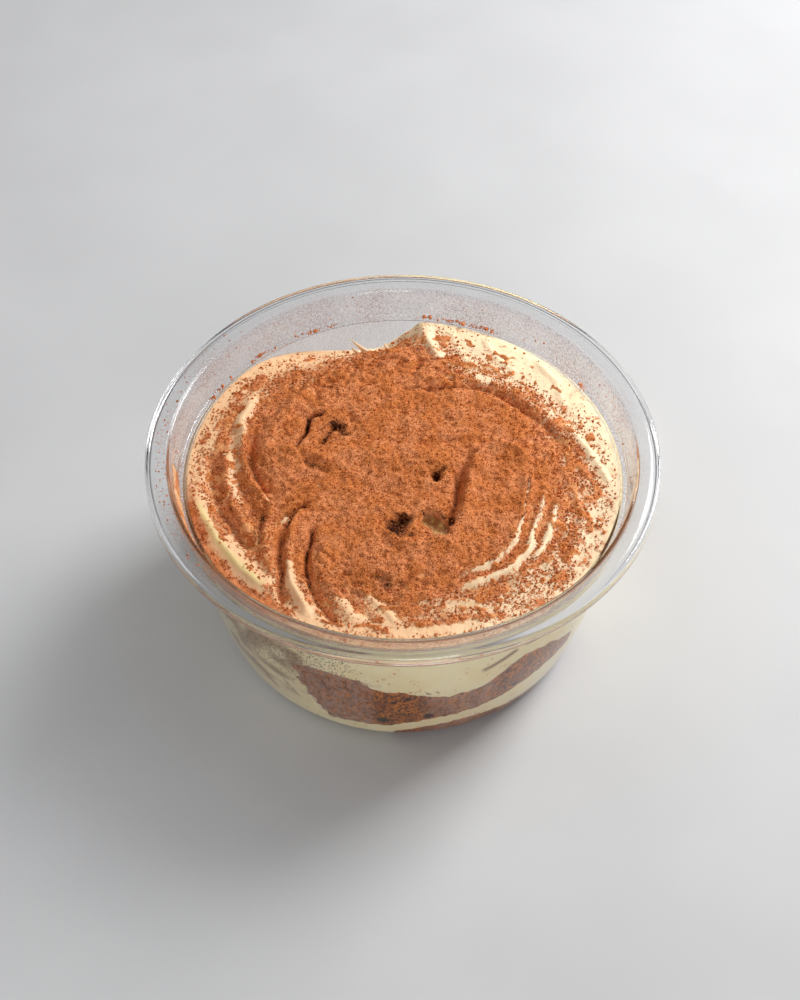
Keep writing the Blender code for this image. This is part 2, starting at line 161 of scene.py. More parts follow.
# Thinner strands and slits, in the same form
FINE_FOLDS = (
    ((-37.4, 14, -37.2, 6, -35.8, -1, -33.4, -6, -31.4, -10), 0.7, 1.6, 0.8),
    ((-12.6, 27, -19, 26.5, -20.9, 23.6, -21.5, 19), 0.9, 0.7, -0.5),
    ((-32.6, 2, -30.6, 10, -26.2, 19.3, -22.3, 25.2, -17.8, 28.9), 0.9, 0.9, 0.5),
    ((-25.2, 4.5, -23.5, 10.2, -21.9, 14.8), 0.6, 0.6, -1.6),
    ((-22.2, 15.2, -19.5, 16.3), 0.6, 0.6, -0.8),
    ((-20, 5.2, -17.5, 9.8, -15.6, 12.2), 0.7, 0.7, -1.1),
    ((-13, 19, -12.4, 13, -12.6, 8), 0.7, 0.7, -0.9),
    ((-25.9, -18.4, -24, -14.2, -21.8, -11.9), 0.65, 0.65, -1.4),
    ((-19.9, -18.8, -20.9, -22.8, -20.9, -29.7, -18.8, -37), 0.7, 0.7, -1.2),
    ((-31.3, -13, -32, -18, -32, -23.5), 0.8, 0.8, -1.1),
    ((-16.5, -6.6, -22.6, -7.8, -27.9, -10.6, -30, -15.5, -30.5, -23), 0.9, 0.9, 0.5),
    ((-22.6, -14.6, -25.2, -19.7, -25.6, -27, -24.4, -33, -20, -42), 0.8, 0.8, 0.6),
    ((-4, -20.4, 0.5, -23.4, 5.6, -23.6, 10.1, -21, 13.3, -16), 0.7, 1.0, 0.5),
    ((13.3, -16.5, 14.6, -9.5, 15.8, -2.4, 17.6, 3, 22, 5.9, 26.8, 4.5, 29.8, 0.3), 0.7, 1.2, 0.7),
    ((13.2, -1.5, 12.4, -7, 11.6, -13, 9, -20), 0.9, 1.3, -1.0),
    ((1, 5, 6.5, 7.9, 13.5, 8.7, 19, 9.2), 0.9, 0.7, 0.35),
    ((7, 2.6, 12, 3.4, 15.5, 0.4), 0.8, 0.8, 0.3),
    ((-0.4, 24.2, 4, 25.2, 9.6, 25.7, 15.7, 26.3, 20.3, 25.1, 25.7, 21.6, 34, 13.4), 0.6, 1.0, -0.5),
    ((29.2, -1, 28.4, -8, 27, -16, 23.4, -24, 17.4, -29.2, 10.8, -32), 0.7, 0.9, 0.5),
    ((32.2, -6.7, 31.4, -12, 29.5, -18.5, 27.4, -25, 23.4, -29.9, 15.7, -33.6), 0.9, 1.2, 0.5),
    ((35.7, -9, 34, -15, 32.4, -20, 28.8, -27.4), 0.8, 1.0, 0.45),
    ((37.5, -15, 35.5, -22, 31.5, -30), 0.9, 1.1, 0.4),
    ((39.5, -6, 40.5, -13, 39.5, -20, 36, -28), 1.0, 1.3, 0.4),
    ((40, 11.5, 43, 6.5, 45.6, 1.2, 47.6, -4), 0.8, 0.8, 0.3),
    ((-14, -34, -10.5, -39, -6, -44), 0.9, 0.9, -0.5),
    ((-9.5, -34.5, -5.5, -39, -1, -43.5), 1.0, 1.0, 0.5),
    ((3, -36.5, 9, -37.8, 17, -37.6), 1.0, 1.0, 0.4),
    ((-3, 44, 2, 40, 4.5, 34.5), 1.2, 1.0, -0.6),
    ((6.5, 47, 7, 41, 9, 35), 1.0, 1.4, 0.5),
    ((12, 46, 14, 40, 17.5, 33.5), 1.0, 1.4, 0.4),
    ((20, 43.5, 23, 37, 28, 31), 1.2, 1.6, 0.4),
    ((33, 36, 37, 29, 39, 20), 1.2, 1.6, 0.4),
    ((-30, 31, -24, 34.5, -16, 36.5), 1.2, 1.2, 0.5),
    ((-46.6, -12, -41.4, -21.5, -35.6, -29, -29.5, -35), 0.7, 0.7, 0.4),
)
# Strokes that add cocoa, or leave the cream bare where the amount is negative: the centre line's
# points, half width and amount
COVER_STROKES = (
    ((28.9, -1, 28.3, -6, 27.7, -12, 26.8, -17), 0.7, -0.95),
    ((26.9, -15, 25.6, -21, 22.8, -25.6, 17.6, -29.6, 10.8, -32.2), 0.95, -1.2),
    ((32.2, -6.7, 31.4, -12, 29.5, -18.5, 27.4, -25, 23.4, -29.9, 15.7, -33.6, 11.4, -35.4), 1.3, -1.1),
    ((35.7, -9, 34, -15, 32.4, -20, 28.8, -27.4), 1.1, -0.85),
    ((37.5, -12, 36.4, -18, 34, -24, 30.8, -30), 1.1, -0.6),
    ((43.5, -10, 42, -20, 37, -28), 2.0, -0.3),
    ((4.2, -14.8, 7, -15.8, 8.6, -17.6, 8, -20.6), 2.6, -2.4),
    ((1, -15.6, 1.8, -17.4), 0.6, -1.1),
    ((-32.3, -8.5, -30.2, -11.3), 0.7, -1.8),
    ((-27.6, -16.9, -25.3, -14.7), 0.8, -1.6),
    ((-35, 26, -37.6, 16, -39.2, 7, -39.3, 0, -37.8, -8, -35.4, -14, -32.5, -19), 3.2, -0.75),
    ((-43.5, 17, -45, 9, -45, 2), 1.6, -0.3),
    ((-47, -8, -42.2, -20.5, -36.2, -29, -29, -36), 1.5, -0.75),
    ((-39.5, -19, -36, -25, -31.4, -30, -28.5, -35), 3.2, -0.5),
    ((-25.2, -26.5, -24.2, -33.5, -21.5, -39.5, -17.5, -45), 1.5, -1.2),
    ((-14.5, -36.5, -11, -40, -8.5, -44), 3.8, -0.5),
    ((-9.8, -34.8, -5.5, -39.4, -1, -43.6), 2.6, -0.55),
    ((2.2, -37.4, 9, -38.8, 17, -38.4), 1.8, -0.5),
    ((-4, -46, 6, -45.6, 16, -43.6), 1.6, -0.4),
    ((40, 11.5, 43.5, 5.5, 46, 0.6, 48, -4), 1.6, -0.6),
    ((36, 17, 40, 8, 41.5, -1), 3.0, 0.25),
    ((12, 43, 24, 38, 35, 29, 43, 17), 6.0, -0.2),
    ((10, 29.2, 12.5, 28.2), 1.2, -0.7),
    ((17.5, 30.5, 21, 27.5), 1.6, -0.6),
    ((-28, 33, -20, 37, -12, 38), 2.6, -0.25),
    ((-45, 22, -40.5, 28), 3.0, -0.2),
    ((-40, 22, -42.6, 12, -43, 4), 2.0, 0.4),
    ((-44, 4, -42.3, -5, -38.8, -12.5, -33.4, -21.5), 2.2, 0.3),
    ((-49.4, -9, -47, -18.6, -41.4, -28.8, -34.4, -36, -27, -41), 3.0, 1.3),
    ((24, -41, 32, -35.4, 39, -27, 43, -18), 3.2, 0.2),
    ((34, -8, 37, -16, 35, -23, 31, -29), 3.0, 0.4),
    ((0.4, -34, 0.8, -41.2), 1.5, 0.6),
    ((-20.6, -22, -20.1, -31, -17.6, -37, -12.5, -46), 1.1, 1.0),
    ((-27.2, -22, -26.4, -32, -25.8, -38), 0.9, 0.9),
    ((-29.5, -37.5, -24, -41.3), 1.7, 0.9),
    ((4, -44.6, 12, -42.6, 21, -41.4), 1.3, 0.45),
    ((-4, 44.6, -1, 39.5, 0.5, 34), 4.6, 0.45),
    ((6.4, 48, 7, 41.5, 9, 35), 2.4, -0.45),
    ((-24, 34, -31, 27), 2.4, 0.25),
    ((20, 26.5, 27, 21.5, 33, 14.5), 2.0, 0.3),
    ((-11, -37, -9.5, -42), 0.9, 0.45),
    ((-6, -33, -3, -38.5), 2.4, 0.5),
)
# Clumps of cocoa on the cream: place and radius
CLUMPS = (
    (12.5, 36, 1.7), (43, -1.2, 1.9), (39.5, -4, 1.4), (43.2, -17, 1.8), (36.4, -23.5, 2.1),
    (-40, 23.6, 1.3), (-39.5, 21.8, 1.0), (-39, 18, 1.4), (-42, 14.4, 1.7), (-44.3, 3.4, 2.0),
    (-42.5, 1.5, 1.5), (-34.4, 29, 2.0), (-35, 27, 1.3), (34.5, -31, 1.8), (21, -41.5, 1.1),
    (47.4, -9, 0.9), (38, 7, 1.3), (38.6, 19.4, 1.0), (-24, 31.2, 1.5), (-29.2, 24, 1.1),
    (-38.6, 26.2, 1.2), (-46, 10.4, 0.9), (-47.4, 8.2, 0.9), (2, 34.5, 1.4), (5, 31.5, 1.7),
    (26, 31, 0.9), (31, 31.4, 0.6), (44, 9.5, 0.9), (35, 14, 1.3), (45.5, -22, 1.0), (30, -38, 1.1),
    (10.5, -43, 1.3), (-5, -43, 1.0), (-9, -39.4, 1.4), (-14.5, -39, 1.0), (44.2, 3.2, 0.7),
    (33.5, -9, 1.2), (38.5, -12.5, 0.9), (30.6, -14, 0.8), (34.4, -20, 0.9), (32.4, -23.4, 1.1),
    (19, -36.2, 1.6),
)
# Strokes of painted shade in the cocoa's slits, pits, grooves and valleys, and of moist dark cocoa, in the
# same form
DAMP_AND_SHADE_STROKES = (
    ((-25.2, 4.3, -23.6, 10, -21.9, 15, -18.8, 16.4), 0.8, 1.5),
    ((-20.2, 4.8, -17.4, 9.8, -14.8, 12.4), 0.8, 1.5),
    ((-17.6, 13.6, -14.8, 12, -13.2, 8.4), 2.2, 1.1),
    ((-13.1, 19, -12.4, 13), 0.7, 0.5),
    ((-26, -18.4, -24, -14.3, -21.7, -11.8), 0.9, 1.6),
    ((-19.8, -18.6, -20.9, -22.8, -20.9, -30, -18.8, -37), 0.8, 0.8),
    ((7.4, -2.6, 7.4, -5.6), 1.0, 1.3),
    ((5.6, -3.8, 8.8, -2.4, 11, -0.8), 1.2, 0.45),
    ((-23.4, 1, -20.6, -1.4, -17, -2.6), 1.5, 0.5),
    ((11.2, -13.4, 10.9, -17, 8.4, -21), 1.1, 1.1),
    ((3.6, -13.8, 7.4, -14.6, 11, -15), 0.6, 0.8),
    ((0, -14, -1, -17.6, -3.2, -20.4), 3.4, 0.85),
    ((-4, -20.6, -0.6, -21.4, 3.2, -20.8), 1.6, 0.7),
    ((-1.6, -16, -1.4, -19.8), 4.6, 0.42),
    ((12.6, -1, 12.2, -6, 11.8, -10.5, 11.4, -14), 1.1, 0.5),
    ((-0.4, 24.4, 4, 25.2, 9.6, 25.6, 15.7, 26.2, 20.3, 25, 25.7, 21.4), 0.8, 0.6),
    ((25.7, 21.6, 29.5, 17.9, 34, 13.4, 37.5, 6), 1.4, 0.35),
    ((-36.5, 4, -35, -1, -33.5, -5), 1.2, 0.55),
    ((-31, -14, -32.6, -19, -32.5, -24), 1.5, 0.7),
    ((-27.4, -20, -26.6, -31, -25.8, -37), 1.0, 0.55),
    ((-28.6, -38, -25, -40.6), 1.4, 0.6),
    ((-5, -31.5, -3, -35), 2.4, 0.35),
    ((-13, -30, -4, -33.5, 6, -33.5), 3.4, 0.32),
    ((-30, -15, -24, -12, -18, -14), 3.2, 0.18),
    ((-36.3, 16, -36.4, 8, -35.6, 2, -33.6, -4), 1.6, 0.3),
    ((-39.6, -11, -37.4, -16, -34, -21.5), 0.9, 0.5),
    ((-33.5, 9, -33, 7), 0.8, 0.5),
)

# The thick sponge's top: its level, and the x, y, radius and height of its mounds and dips
MIDDLE_LEVEL = 28.0
MIDDLE_MOUNDS = ((12, -48, 16, -4.0), (27, -40, 14, 3.0), (-14, -46, 14, 2.0), (40, -28, 14, -5.0))
# The thick sponge where it touches the front wall: direction and height
SPONGE_TOP_LINE = (
    (-122, 28.4), (-115, 30.4), (-108, 30.8), (-101, 30.6), (-98.7, 29.5), (-98.2, 27.9), (-92, 26.4),
    (-86, 25.9), (-83.8, 25.5), (-83.2, 24.2), (-79, 23.4), (-73, 23.9), (-67, 24.9), (-63.5, 27.4),
    (-60, 29.3), (-56, 30.3), (-51, 28.7), (-47, 27.9), (-42, 25.4), (-36, 24.5),
)
SPONGE_FOOT_LINE = (
    (-122, 6.6), (-114.7, 8.0), (-110.5, 6.8), (-103.5, 7.6), (-93, 7.9), (-89, 9.3), (-83, 11.0),
    (-76, 12.0), (-64.5, 13.1), (-58, 14.4), (-52.5, 15.9), (-46, 17.4), (-40, 18.1), (-36, 19.0),
)

# The glistening edge of the top cream at the front left, its sheen painted as a yellower line, and the
# middle of its open pit, where the cream is soaked: the x and y of each point
WET_SHEEN_LINE = (-47.5, -9, -42, -20.5, -36, -28.6, -29, -35.4)
POOL_LINE = (3.4, -14.4, 7, -15.6, 8.8, -17.4, 8, -20.4)
# A yellower band in the cream behind the wall: direction and height along it
YELLOW_BAND = (-106, 38.4, -101, 35, -97, 31.6, -93.5, 29.6)
# Thin lines of cream over the thick sponge at the wall, in the form of the marks below
SPONGE_LINES = (
    ((-100.5, 29.8, -98, 28.9, -95.5, 27.6, -93, 26.6), 0.45, 1.0),
    ((-86.5, 25.2, -84, 25.0, -81, 24.1), 0.4, 0.9),
    ((-66, 25.6, -62, 28.2, -58.5, 29.8), 0.3, 0.7),
)
# Haze of cream over the sponges at the wall: strength, directions that it runs between, soft margin
SPONGE_HAZE = (
    (0.9, -126.0, -98.0, 4.0), (0.75, -83.5, -64.0, 6.0), (0.3, -60.0, -36.0, 8.0),
    (0.5, 12.0, 40.0, 10.0), (0.5, 130.0, 156.0, 10.0),
)
# Open pits in the thick sponge at the wall: direction, height and half width
SPONGE_PITS = (
    (-95.2, 11.2, 1.3), (-82.6, 13.4, 1.1), (-92, 21.4, 0.6), (-88.4, 23.4, 0.7), (-58, 17.4, 0.8),
)
# Marks on the cream behind the wall: direction and height along each, half width and strength
WALL_STREAKS = (
    ((-140, 19.6, -136, 16.5, -132.2, 14.9, -127.5, 7.4), 0.55, 0.9),
    ((-133.5, 11.4, -129, 10.6, -125, 10.2), 0.4, 0.6),
    ((-123.6, 17.9, -121.6, 14.6, -119.4, 11.2), 0.5, 0.8),
    ((-70, 31.0, -66, 32.3, -62, 33.9, -59.5, 35), 1.15, 1.0),
    ((-58, 35, -54, 34.8, -50, 35.4), 0.6, 0.7),
    ((-99.4, 29.4, -97.6, 29.2, -95, 28.8), 0.45, 1.0),
    ((-84.6, 25.6, -82.5, 25.5, -80, 25.5), 0.4, 1.0),
)

# The smear of cream on the collar: the directions between which it runs
SMEAR_RUN = (-178.0, -138.0)
# Small peaks of cream: the x and y of foot, bend and tip, width of the foot, and rise
PEAKS = (
    ((-8.4, 39.6, -10.8, 41.2, -13.4, 43.0), 1.1, 2.0),
    ((-10.4, 39.4, -12.2, 40.6, -13.0, 41.4), 0.8, 1.1),
    ((-3.4, 42.2, -4.4, 43.4, -5.0, 44.2), 0.8, 1.2),
)


def bell(distance):
    """One at zero, falling smoothly to nothing at a distance of one."""
    return 0.5 * (1.0 + np.cos(np.pi * np.clip(np.abs(distance), 0.0, 1.0)))


def ramp(value):
    """A smooth step from zero at zero to one at one."""
    t = np.clip(value, 0.0, 1.0)
    return t * t * (3.0 - 2.0 * t)


def turn_from(angle, centre):
    """Signed angle from a direction, in degrees, for angles in radians."""
    return (np.degrees(angle) - centre + 180.0) % 360.0 - 180.0


def window(angle, start, end, soft=8.0):
    """One between two directions in degrees, falling to zero over the soft margin at each end."""
    half = (end - start) / 2.0
    off = np.abs(turn_from(angle, start + half))
    return ramp((half - off) / soft + 0.5)


def noise(x, y, size, seed):
    """Smooth random hills of about the given size, from minus one to one."""
    count = 128
    table = np.random.default_rng(seed).uniform(-1.0, 1.0, (count, count))
    u = (x * math.cos(seed) - y * math.sin(seed)) / size
    v = (x * math.sin(seed) + y * math.cos(seed)) / size
    i = np.floor(u).astype(int)
    j = np.floor(v).astype(int)
    s = ramp(u - i)
    t = ramp(v - j)

    def corner(di, dj):
        return table[(i + di) % count, (j + dj) % count]

    near = corner(0, 0) * (1.0 - s) + corner(1, 0) * s
    far = corner(0, 1) * (1.0 - s) + corner(1, 1) * s
    return near * (1.0 - t) + far * t


# Tub profile

def body_radius(z):
    """Outer radius of the bowed wall, before the base corner is rounded."""
    t = np.clip(z / LEDGE_HEIGHT, 0.0, 1.0)
    taper = (WALL_TOP_RADIUS - WALL_FOOT_RADIUS) * t
    return WALL_FOOT_RADIUS + taper + 4.0 * WALL_BOW * t * (1.0 - t)


def rounding(height, corner):
    """How far a rounded corner pulls the wall in, at a height above its lowest point."""
    below = np.clip(corner - height, 0.0, corner)
    return corner - np.sqrt(corner ** 2 - below ** 2)


def outer_radius(z):
    return body_radius(z) - rounding(z, BASE_CORNER)


def inner_radius(z):
    return body_radius(z) - WALL - rounding(z - FLOOR, BASE_CORNER - WALL)


def collar_radius(z):
    """Inner radius of the collar above the ledge."""
    foot = WALL_TOP_RADIUS - WALL + LEDGE_WIDTH
    share = (z - LEDGE_HEIGHT) / (RIM_HEIGHT - LEDGE_HEIGHT)
    return foot + (MOUTH_RADIUS - foot) * share


def corner_heights(corner):
    """Heights that divide a rounded base corner evenly."""
    turn = np.linspace(0.0, np.pi / 2.0, CORNER_POINTS)
    return corner * (1.0 - np.cos(turn))


def beside(radius, height, *offsets):
    """Points that lie the given distances out and up from a place."""
    return [(radius + out, height + up) for out, up in offsets]


def tub_profile():
    """Points from the middle of the underside, out and up, over the flange, down and in."""
    under = LEDGE_HEIGHT - WALL
    step = WALL_TOP_RADIUS + LEDGE_WIDTH
    top = RIM_HEIGHT
    wall_heights = np.linspace(BASE_CORNER, under - 0.5, WALL_POINTS)[1:]
    points = [(r, 0.0) for r in (8.0, 20.0, 32.0, 39.0)]
    points += [(outer_radius(z), z) for z in (*corner_heights(BASE_CORNER), *wall_heights)]
    # Under the ledge, up the outside of the collar and out under the flange
    points += beside(WALL_TOP_RADIUS, under, (0.02, -0.2), (0.12, -0.05), (0.35, 0.0))
    points += beside(step, under, (-0.35, 0.0), (-0.1, 0.06), (0.0, 0.3))
    points += [(collar_radius(z) + WALL, z) for z in np.linspace(under + 1.2, top - 1.7, 7)]
    points += beside(collar_radius(top) + WALL, top, (0.0, -1.1), (0.25, -0.86), (0.6, -0.8))
    points += beside(FLANGE_EDGE, top, (-1.5, -0.8), (-0.9, -0.95), (-0.72, -1.3))
    # Round the lip that is turned down, and over the bead on the flange's edge
    points += beside(FLANGE_EDGE, top, (-0.42, -2.35), (-0.36, -2.45), (-0.1, -2.5), (0.2, -2.45),
                     (0.3, -2.3), (0.2, -1.4), (0.08, -0.6), (-0.05, -0.25), (-0.3, -0.05), (-0.6, 0.0),
                     (-1.0, -0.03), (-1.35, -0.14), (-1.7, -0.2), (-2.6, -0.2))
    # Over the mouth's edge, down the collar and round the ledge's inner edge
    points += beside(MOUTH_RADIUS, top, (1.2, -0.2), (0.6, -0.24), (0.22, -0.42), (0.02, -0.75))
    points += [(collar_radius(z), z) for z in np.linspace(top - 1.6, LEDGE_HEIGHT + 0.6, 9)]
    points += beside(collar_radius(LEDGE_HEIGHT), LEDGE_HEIGHT, (-0.03, 0.22), (-0.25, 0.0))
    points += [(inner_radius(LEDGE_HEIGHT) + 0.45, LEDGE_HEIGHT)]
    points += [(inner_radius(LEDGE_HEIGHT - 0.2) + 0.12, LEDGE_HEIGHT - 0.1)]
    # Down the inside of the wall and in over the floor
    inner_corner = BASE_CORNER - WALL
    heights = [*np.linspace(under - 0.1, FLOOR + inner_corner, WALL_POINTS)]
    heights += [*(FLOOR + corner_heights(inner_corner))[::-1][1:]]
    points += [(inner_radius(z), z) for z in heights]
    return points + [(r, FLOOR) for r in (38.0, 28.0, 16.0, 6.0)]


# Fields over the top, seen from above

FIELD_STEP = 0.3
FIELD_HALF = 54.0
FIELD_LINE = np.arange(-FIELD_HALF, FIELD_HALF + FIELD_STEP, FIELD_STEP)
FIELD_X, FIELD_Y = np.meshgrid(FIELD_LINE, FIELD_LINE, indexing="ij")
FIELD_RADIUS = np.hypot(FIELD_X, FIELD_Y)
FIELD_ANGLE = np.arctan2(FIELD_Y, FIELD_X)


def hills(size, seed):
    """Smooth random hills over the whole grid."""
    return noise(FIELD_X, FIELD_Y, size, seed)


# The grid a little bent, so that a stroke over it wavers
WAVY_X = FIELD_X + 0.45 * hills(3.6, 1) + 0.2 * hills(1.4, 2)
WAVY_Y = FIELD_Y + 0.45 * hills(3.6, 5) + 0.2 * hills(1.4, 6)


def sample(field, x, y):
    """The value of a field at any place, read between its grid's points."""
    last = len(FIELD_LINE) - 1.001
    u = np.clip((x + FIELD_HALF) / FIELD_STEP, 0.0, last)
    v = np.clip((y + FIELD_HALF) / FIELD_STEP, 0.0, last)
    i = u.astype(int)
    j = v.astype(int)
    s = u - i
    t = v - j
    near = field[i, j] * (1.0 - s) + field[i + 1, j] * s
    far = field[i, j + 1] * (1.0 - s) + field[i + 1, j + 1] * s
    return near * (1.0 - t) + far * t


def blur(field, width):
    """The field with detail finer than the width smoothed away."""
    reach = int(math.ceil(2.5 * width / FIELD_STEP))
    steps = np.arange(-reach, reach + 1)
    weights = np.exp(-0.5 * (steps * FIELD_STEP / width) ** 2)
    weights /= weights.sum()
    for axis in (0, 1):
        field = sum(w * np.roll(field, s, axis) for w, s in zip(weights, steps))
    return field


def smooth_line(points, steps=24):
    """Points on a Catmull-Rom curve through the given points."""
    p = np.array(points, float).reshape(-1, 2)
    p = np.vstack([2.0 * p[0] - p[1], p, 2.0 * p[-1] - p[-2]])
    out = []
    for s in np.linspace(0.0, len(p) - 3.0 - 1e-9, steps + 1):
        k = int(s)
        t = s - k
        a, b, c, d = p[k], p[k + 1], p[k + 2], p[k + 3]
        out.append(0.5 * (2.0 * b + (c - a) * t + (2.0 * a - 5.0 * b + 4.0 * c - d) * t ** 2
                          + (3.0 * b - a - 3.0 * c + d) * t ** 3))
    return np.array(out)


# The share of a stroke's length over which each end fades
STROKE_END = 0.12


def stroke(x, y, points, left, right):
    """One along a line, falling smoothly to nothing at its half widths and fading at its ends."""
    line = smooth_line(points)
    start = line[:-1]
    run = line[1:] - start
    px = x[..., None] - start[:, 0]
    py = y[..., None] - start[:, 1]
    t = np.clip((px * run[:, 0] + py * run[:, 1]) / (run ** 2).sum(1), 0.0, 1.0)
    dx = px - t * run[:, 0]
    dy = py - t * run[:, 1]
    distance = np.hypot(dx, dy)
    nearest = distance.argmin(-1)[..., None]

    def pick(values):
        return np.take_along_axis(values, nearest, -1)[..., 0]

    side = run[nearest[..., 0], 0] * pick(dy) - run[nearest[..., 0], 1] * pick(dx)
    width = np.where(side > 0.0, left, right)
    along = (nearest[..., 0] + pick(t)) / len(run)
    ends = ramp(np.minimum(along, 1.0 - along) / STROKE_END)
    return bell(pick(distance) / width) * ends


def add_stroke(field, points, left, right, amount, uneven=None):
    """Adds a stroke to a field, working only on the part of the grid that it reaches."""
    corners = np.array(points, float).reshape(-1, 2)
    reach = max(left, right) + 2.0
    low = corners.min(0) - reach
    high = corners.max(0) + reach
    rows = slice(*np.searchsorted(FIELD_LINE, (low[0], high[0])))
    columns = slice(*np.searchsorted(FIELD_LINE, (low[1], high[1])))
    here = stroke(WAVY_X[rows, columns], WAVY_Y[rows, columns], points, left, right)
    if uneven is not None:
        here = here * uneven[rows, columns]
    field[rows, columns] += amount * here


def around(corners, angle):
    """A value given every 30 degrees, smooth round the circle."""
    count = len(corners)
    s = (angle / (2.0 * np.pi) * count) % count
    k = s.astype(int) % count
    t = ramp(s - np.floor(s))
    values = np.array(corners)
    return values[k] * (1.0 - t) + values[(k + 1) % count] * t


def hollow_depth(angle):
    """How far the cream hangs below its level at the wall, in each direction."""
    off = turn_from(angle, HOLLOW_AT)
    depth = bell(np.where(off > 0.0, off / HOLLOW_LEFT, off / HOLLOW_RIGHT)) ** 1.4
    torn = ramp(turn_from(angle, HOLLOW_TEAR) / 3.0)
    return HOLLOW_DEPTH * depth * torn


def cream_field():
    """Height of the cream's surface."""
    level = CREAM_LEVEL + CREAM_DOME * (1.0 - (FIELD_RADIUS / WALL_TOP_RADIUS) ** 2)
    level = level - hollow_depth(FIELD_ANGLE) * ramp((FIELD_RADIUS - CREAM_ROLL_FROM) / CREAM_ROLL_WIDTH)
    for points, left, right, height in FOLDS + FINE_FOLDS:
        add_stroke(level, points, left, right, height)
    return blur(level, 0.28) + (0.14 * hills(3.6, 3) + 0.05 * hills(1.1, 4))


def streaks(seed):
    """Random hills over the grid, long round the tub and short across it."""
    turn = np.degrees(FIELD_ANGLE)
    left = window(FIELD_ANGLE, 120.0, 240.0, 40.0)
    right_hills = noise(0.35 * turn, FIELD_RADIUS, 1.1, seed)
    left_hills = noise(0.35 * (turn % 360.0), FIELD_RADIUS, 1.1, seed + 1)
    return right_hills * (1.0 - left) + left_hills * left


def cover_field():
    """How thickly cocoa covers the cream: one and more where it hides it."""
    out = FIELD_RADIUS - around(COVER_OUTLINE, FIELD_ANGLE) + 1.6 * hills(5.0, 12)
    thinning = np.exp(-np.clip(out, 0.0, None) / around(COVER_FADE, FIELD_ANGLE))
    cover = np.where(out > 0.0, EDGE_COVER * thinning, EDGE_COVER + 0.7 * ramp(-out / 8.0))
    ragged = 1.0 + 0.45 * hills(0.9, 13)
    for points, width, amount in COVER_STROKES:
        add_stroke(cover, points, width, width, amount, ragged)
    uneven = 1.0 + 0.35 * hills(1.1, 11)
    for x, y, size in CLUMPS:
        cover += CLUMP_COVER * bell(np.hypot(FIELD_X - x, FIELD_Y - y) / (size * uneven) / 1.25)
    return cover


def cocoa_field(cover):
    """Thickness of the cocoa over the cream, negative where it sinks out of sight."""
    swept = ramp((FIELD_RADIUS - SWEPT_FROM) / SWEPT_WIDTH)
    patches = 0.5 * hills(2.3, 21) * (1.0 - 0.5 * swept) + 1.4 * swept * streaks(27) + 0.5 * hills(0.9, 22)
    inward = around(COCOA_OUTLINE, FIELD_ANGLE) - FIELD_RADIUS
    most = THIN_BED + (BED_THICKNESS - THIN_BED) * ramp((inward + 3.0) / 13.0)
    spare = cover - HIDING_COVER - 0.03 * swept + (0.45 + 0.4 * swept) * patches
    thick = np.minimum(spare * 1.5, most)
    lumps = 0.16 * hills(3.1, 23) + 0.11 * hills(0.9, 24)
    holes = 0.25 * np.clip(hills(1.25, 25) - 0.55, 0.0, None)
    rough = 0.09 * np.random.default_rng(26).uniform(-1.0, 1.0, FIELD_X.shape)
    return np.clip(thick + (lumps - holes + rough) * ramp((thick + 0.2) / 0.5), DEEPEST_COCOA, None)


def damp_and_shade_field():
    """Painted shade in the cocoa's slits, pits, grooves and valleys, and moist, packed cocoa."""
    dark = np.zeros_like(FIELD_X)
    grainy = 1.0 + 0.6 * hills(0.9, 61)
    for points, width, amount in DAMP_AND_SHADE_STROKES:
        add_stroke(dark, points, width, width, amount, grainy)
    return dark


CREAM = cream_field()
COVER = cover_field()
COCOA = cocoa_field(COVER)
DAMP_AND_SHADE = damp_and_shade_field()
COCOA_UNDER = blur(CREAM, 1.2) - 1.0


def cream_top(x, y):
    return sample(CREAM, x, y)


def cocoa_top(x, y):
    return sample(CREAM + COCOA, x, y)


def cocoa_under(x, y):
    return sample(COCOA_UNDER, x, y)


# Sponges

def mound(x, y, centre_x, centre_y, radius, height):
    """A soft round rise, or a dip if its height is negative."""
    return height * bell(np.hypot(x - centre_x, y - centre_y) / radius)


def toward_line(x, y, level, line):
    """A level that bends, near the wall, to the heights read there."""
    direction, height = np.array(line, float).T
    turn = np.radians(direction)
    wall_x = WALL_FOOT_RADIUS * np.cos(turn)
    wall_y = WALL_FOOT_RADIUS * np.sin(turn)
    shift = height - level(wall_x, wall_y)
    shift[0] = 0.0
    shift[-1] = 0.0
    here = np.interp(np.degrees(np.arctan2(y, x)), direction, shift)
    return level(x, y) + here * ramp((np.hypot(x, y) - SPONGE_BEND_FROM) / SPONGE_BEND_WIDTH)


def middle_top_plain(x, y):
    return sum((mound(x, y, *rise) for rise in MIDDLE_MOUNDS), MIDDLE_LEVEL)


def middle_bottom_plain(x, y):
    return 9.0 + 0.19 * x + 0.0012 * x ** 2


def crumbs(x, y, seed):
    """Uneven crumb of a sponge's faces."""
    return 0.4 * noise(x, y, 2.3, seed) + 0.45 * noise(x, y, 1.0, seed + 1)


def middle_top(x, y):
    return toward_line(x, y, middle_top_plain, SPONGE_TOP_LINE) + crumbs(x, y, 31)


def middle_bottom(x, y):
    return toward_line(x, y, middle_bottom_plain, SPONGE_FOOT_LINE) + crumbs(x, y, 36)


def middle_outline(angle, z=18.0):
    """The thick sponge's outline; its left end at the front wall leans to the left as it rises."""
    lean = 0.45 * (z - 18.0)
    ragged = 1.6 * noise(WALL_FOOT_RADIUS * angle, z, 1.3, 34)
    touch = window(angle, -115.5 - lean + ragged, -38.0, 3.0) + window(angle, 8.0, 66.0)
    return 45.0 + 10.0 * (touch + window(angle, 108.0, 158.0)) + 0.8 * np.sin(5.0 * angle)


def bottom_top(x, y):
    level = 4.4 + 0.05 * x - 0.0003 * (x ** 2 + y ** 2)
    return level + mound(x, y, 12, -43, 18, 3.4) + 0.8 * crumbs(x, y, 38)


def bottom_bottom(x, y):
    return np.full_like(x, FLOOR - 0.2)


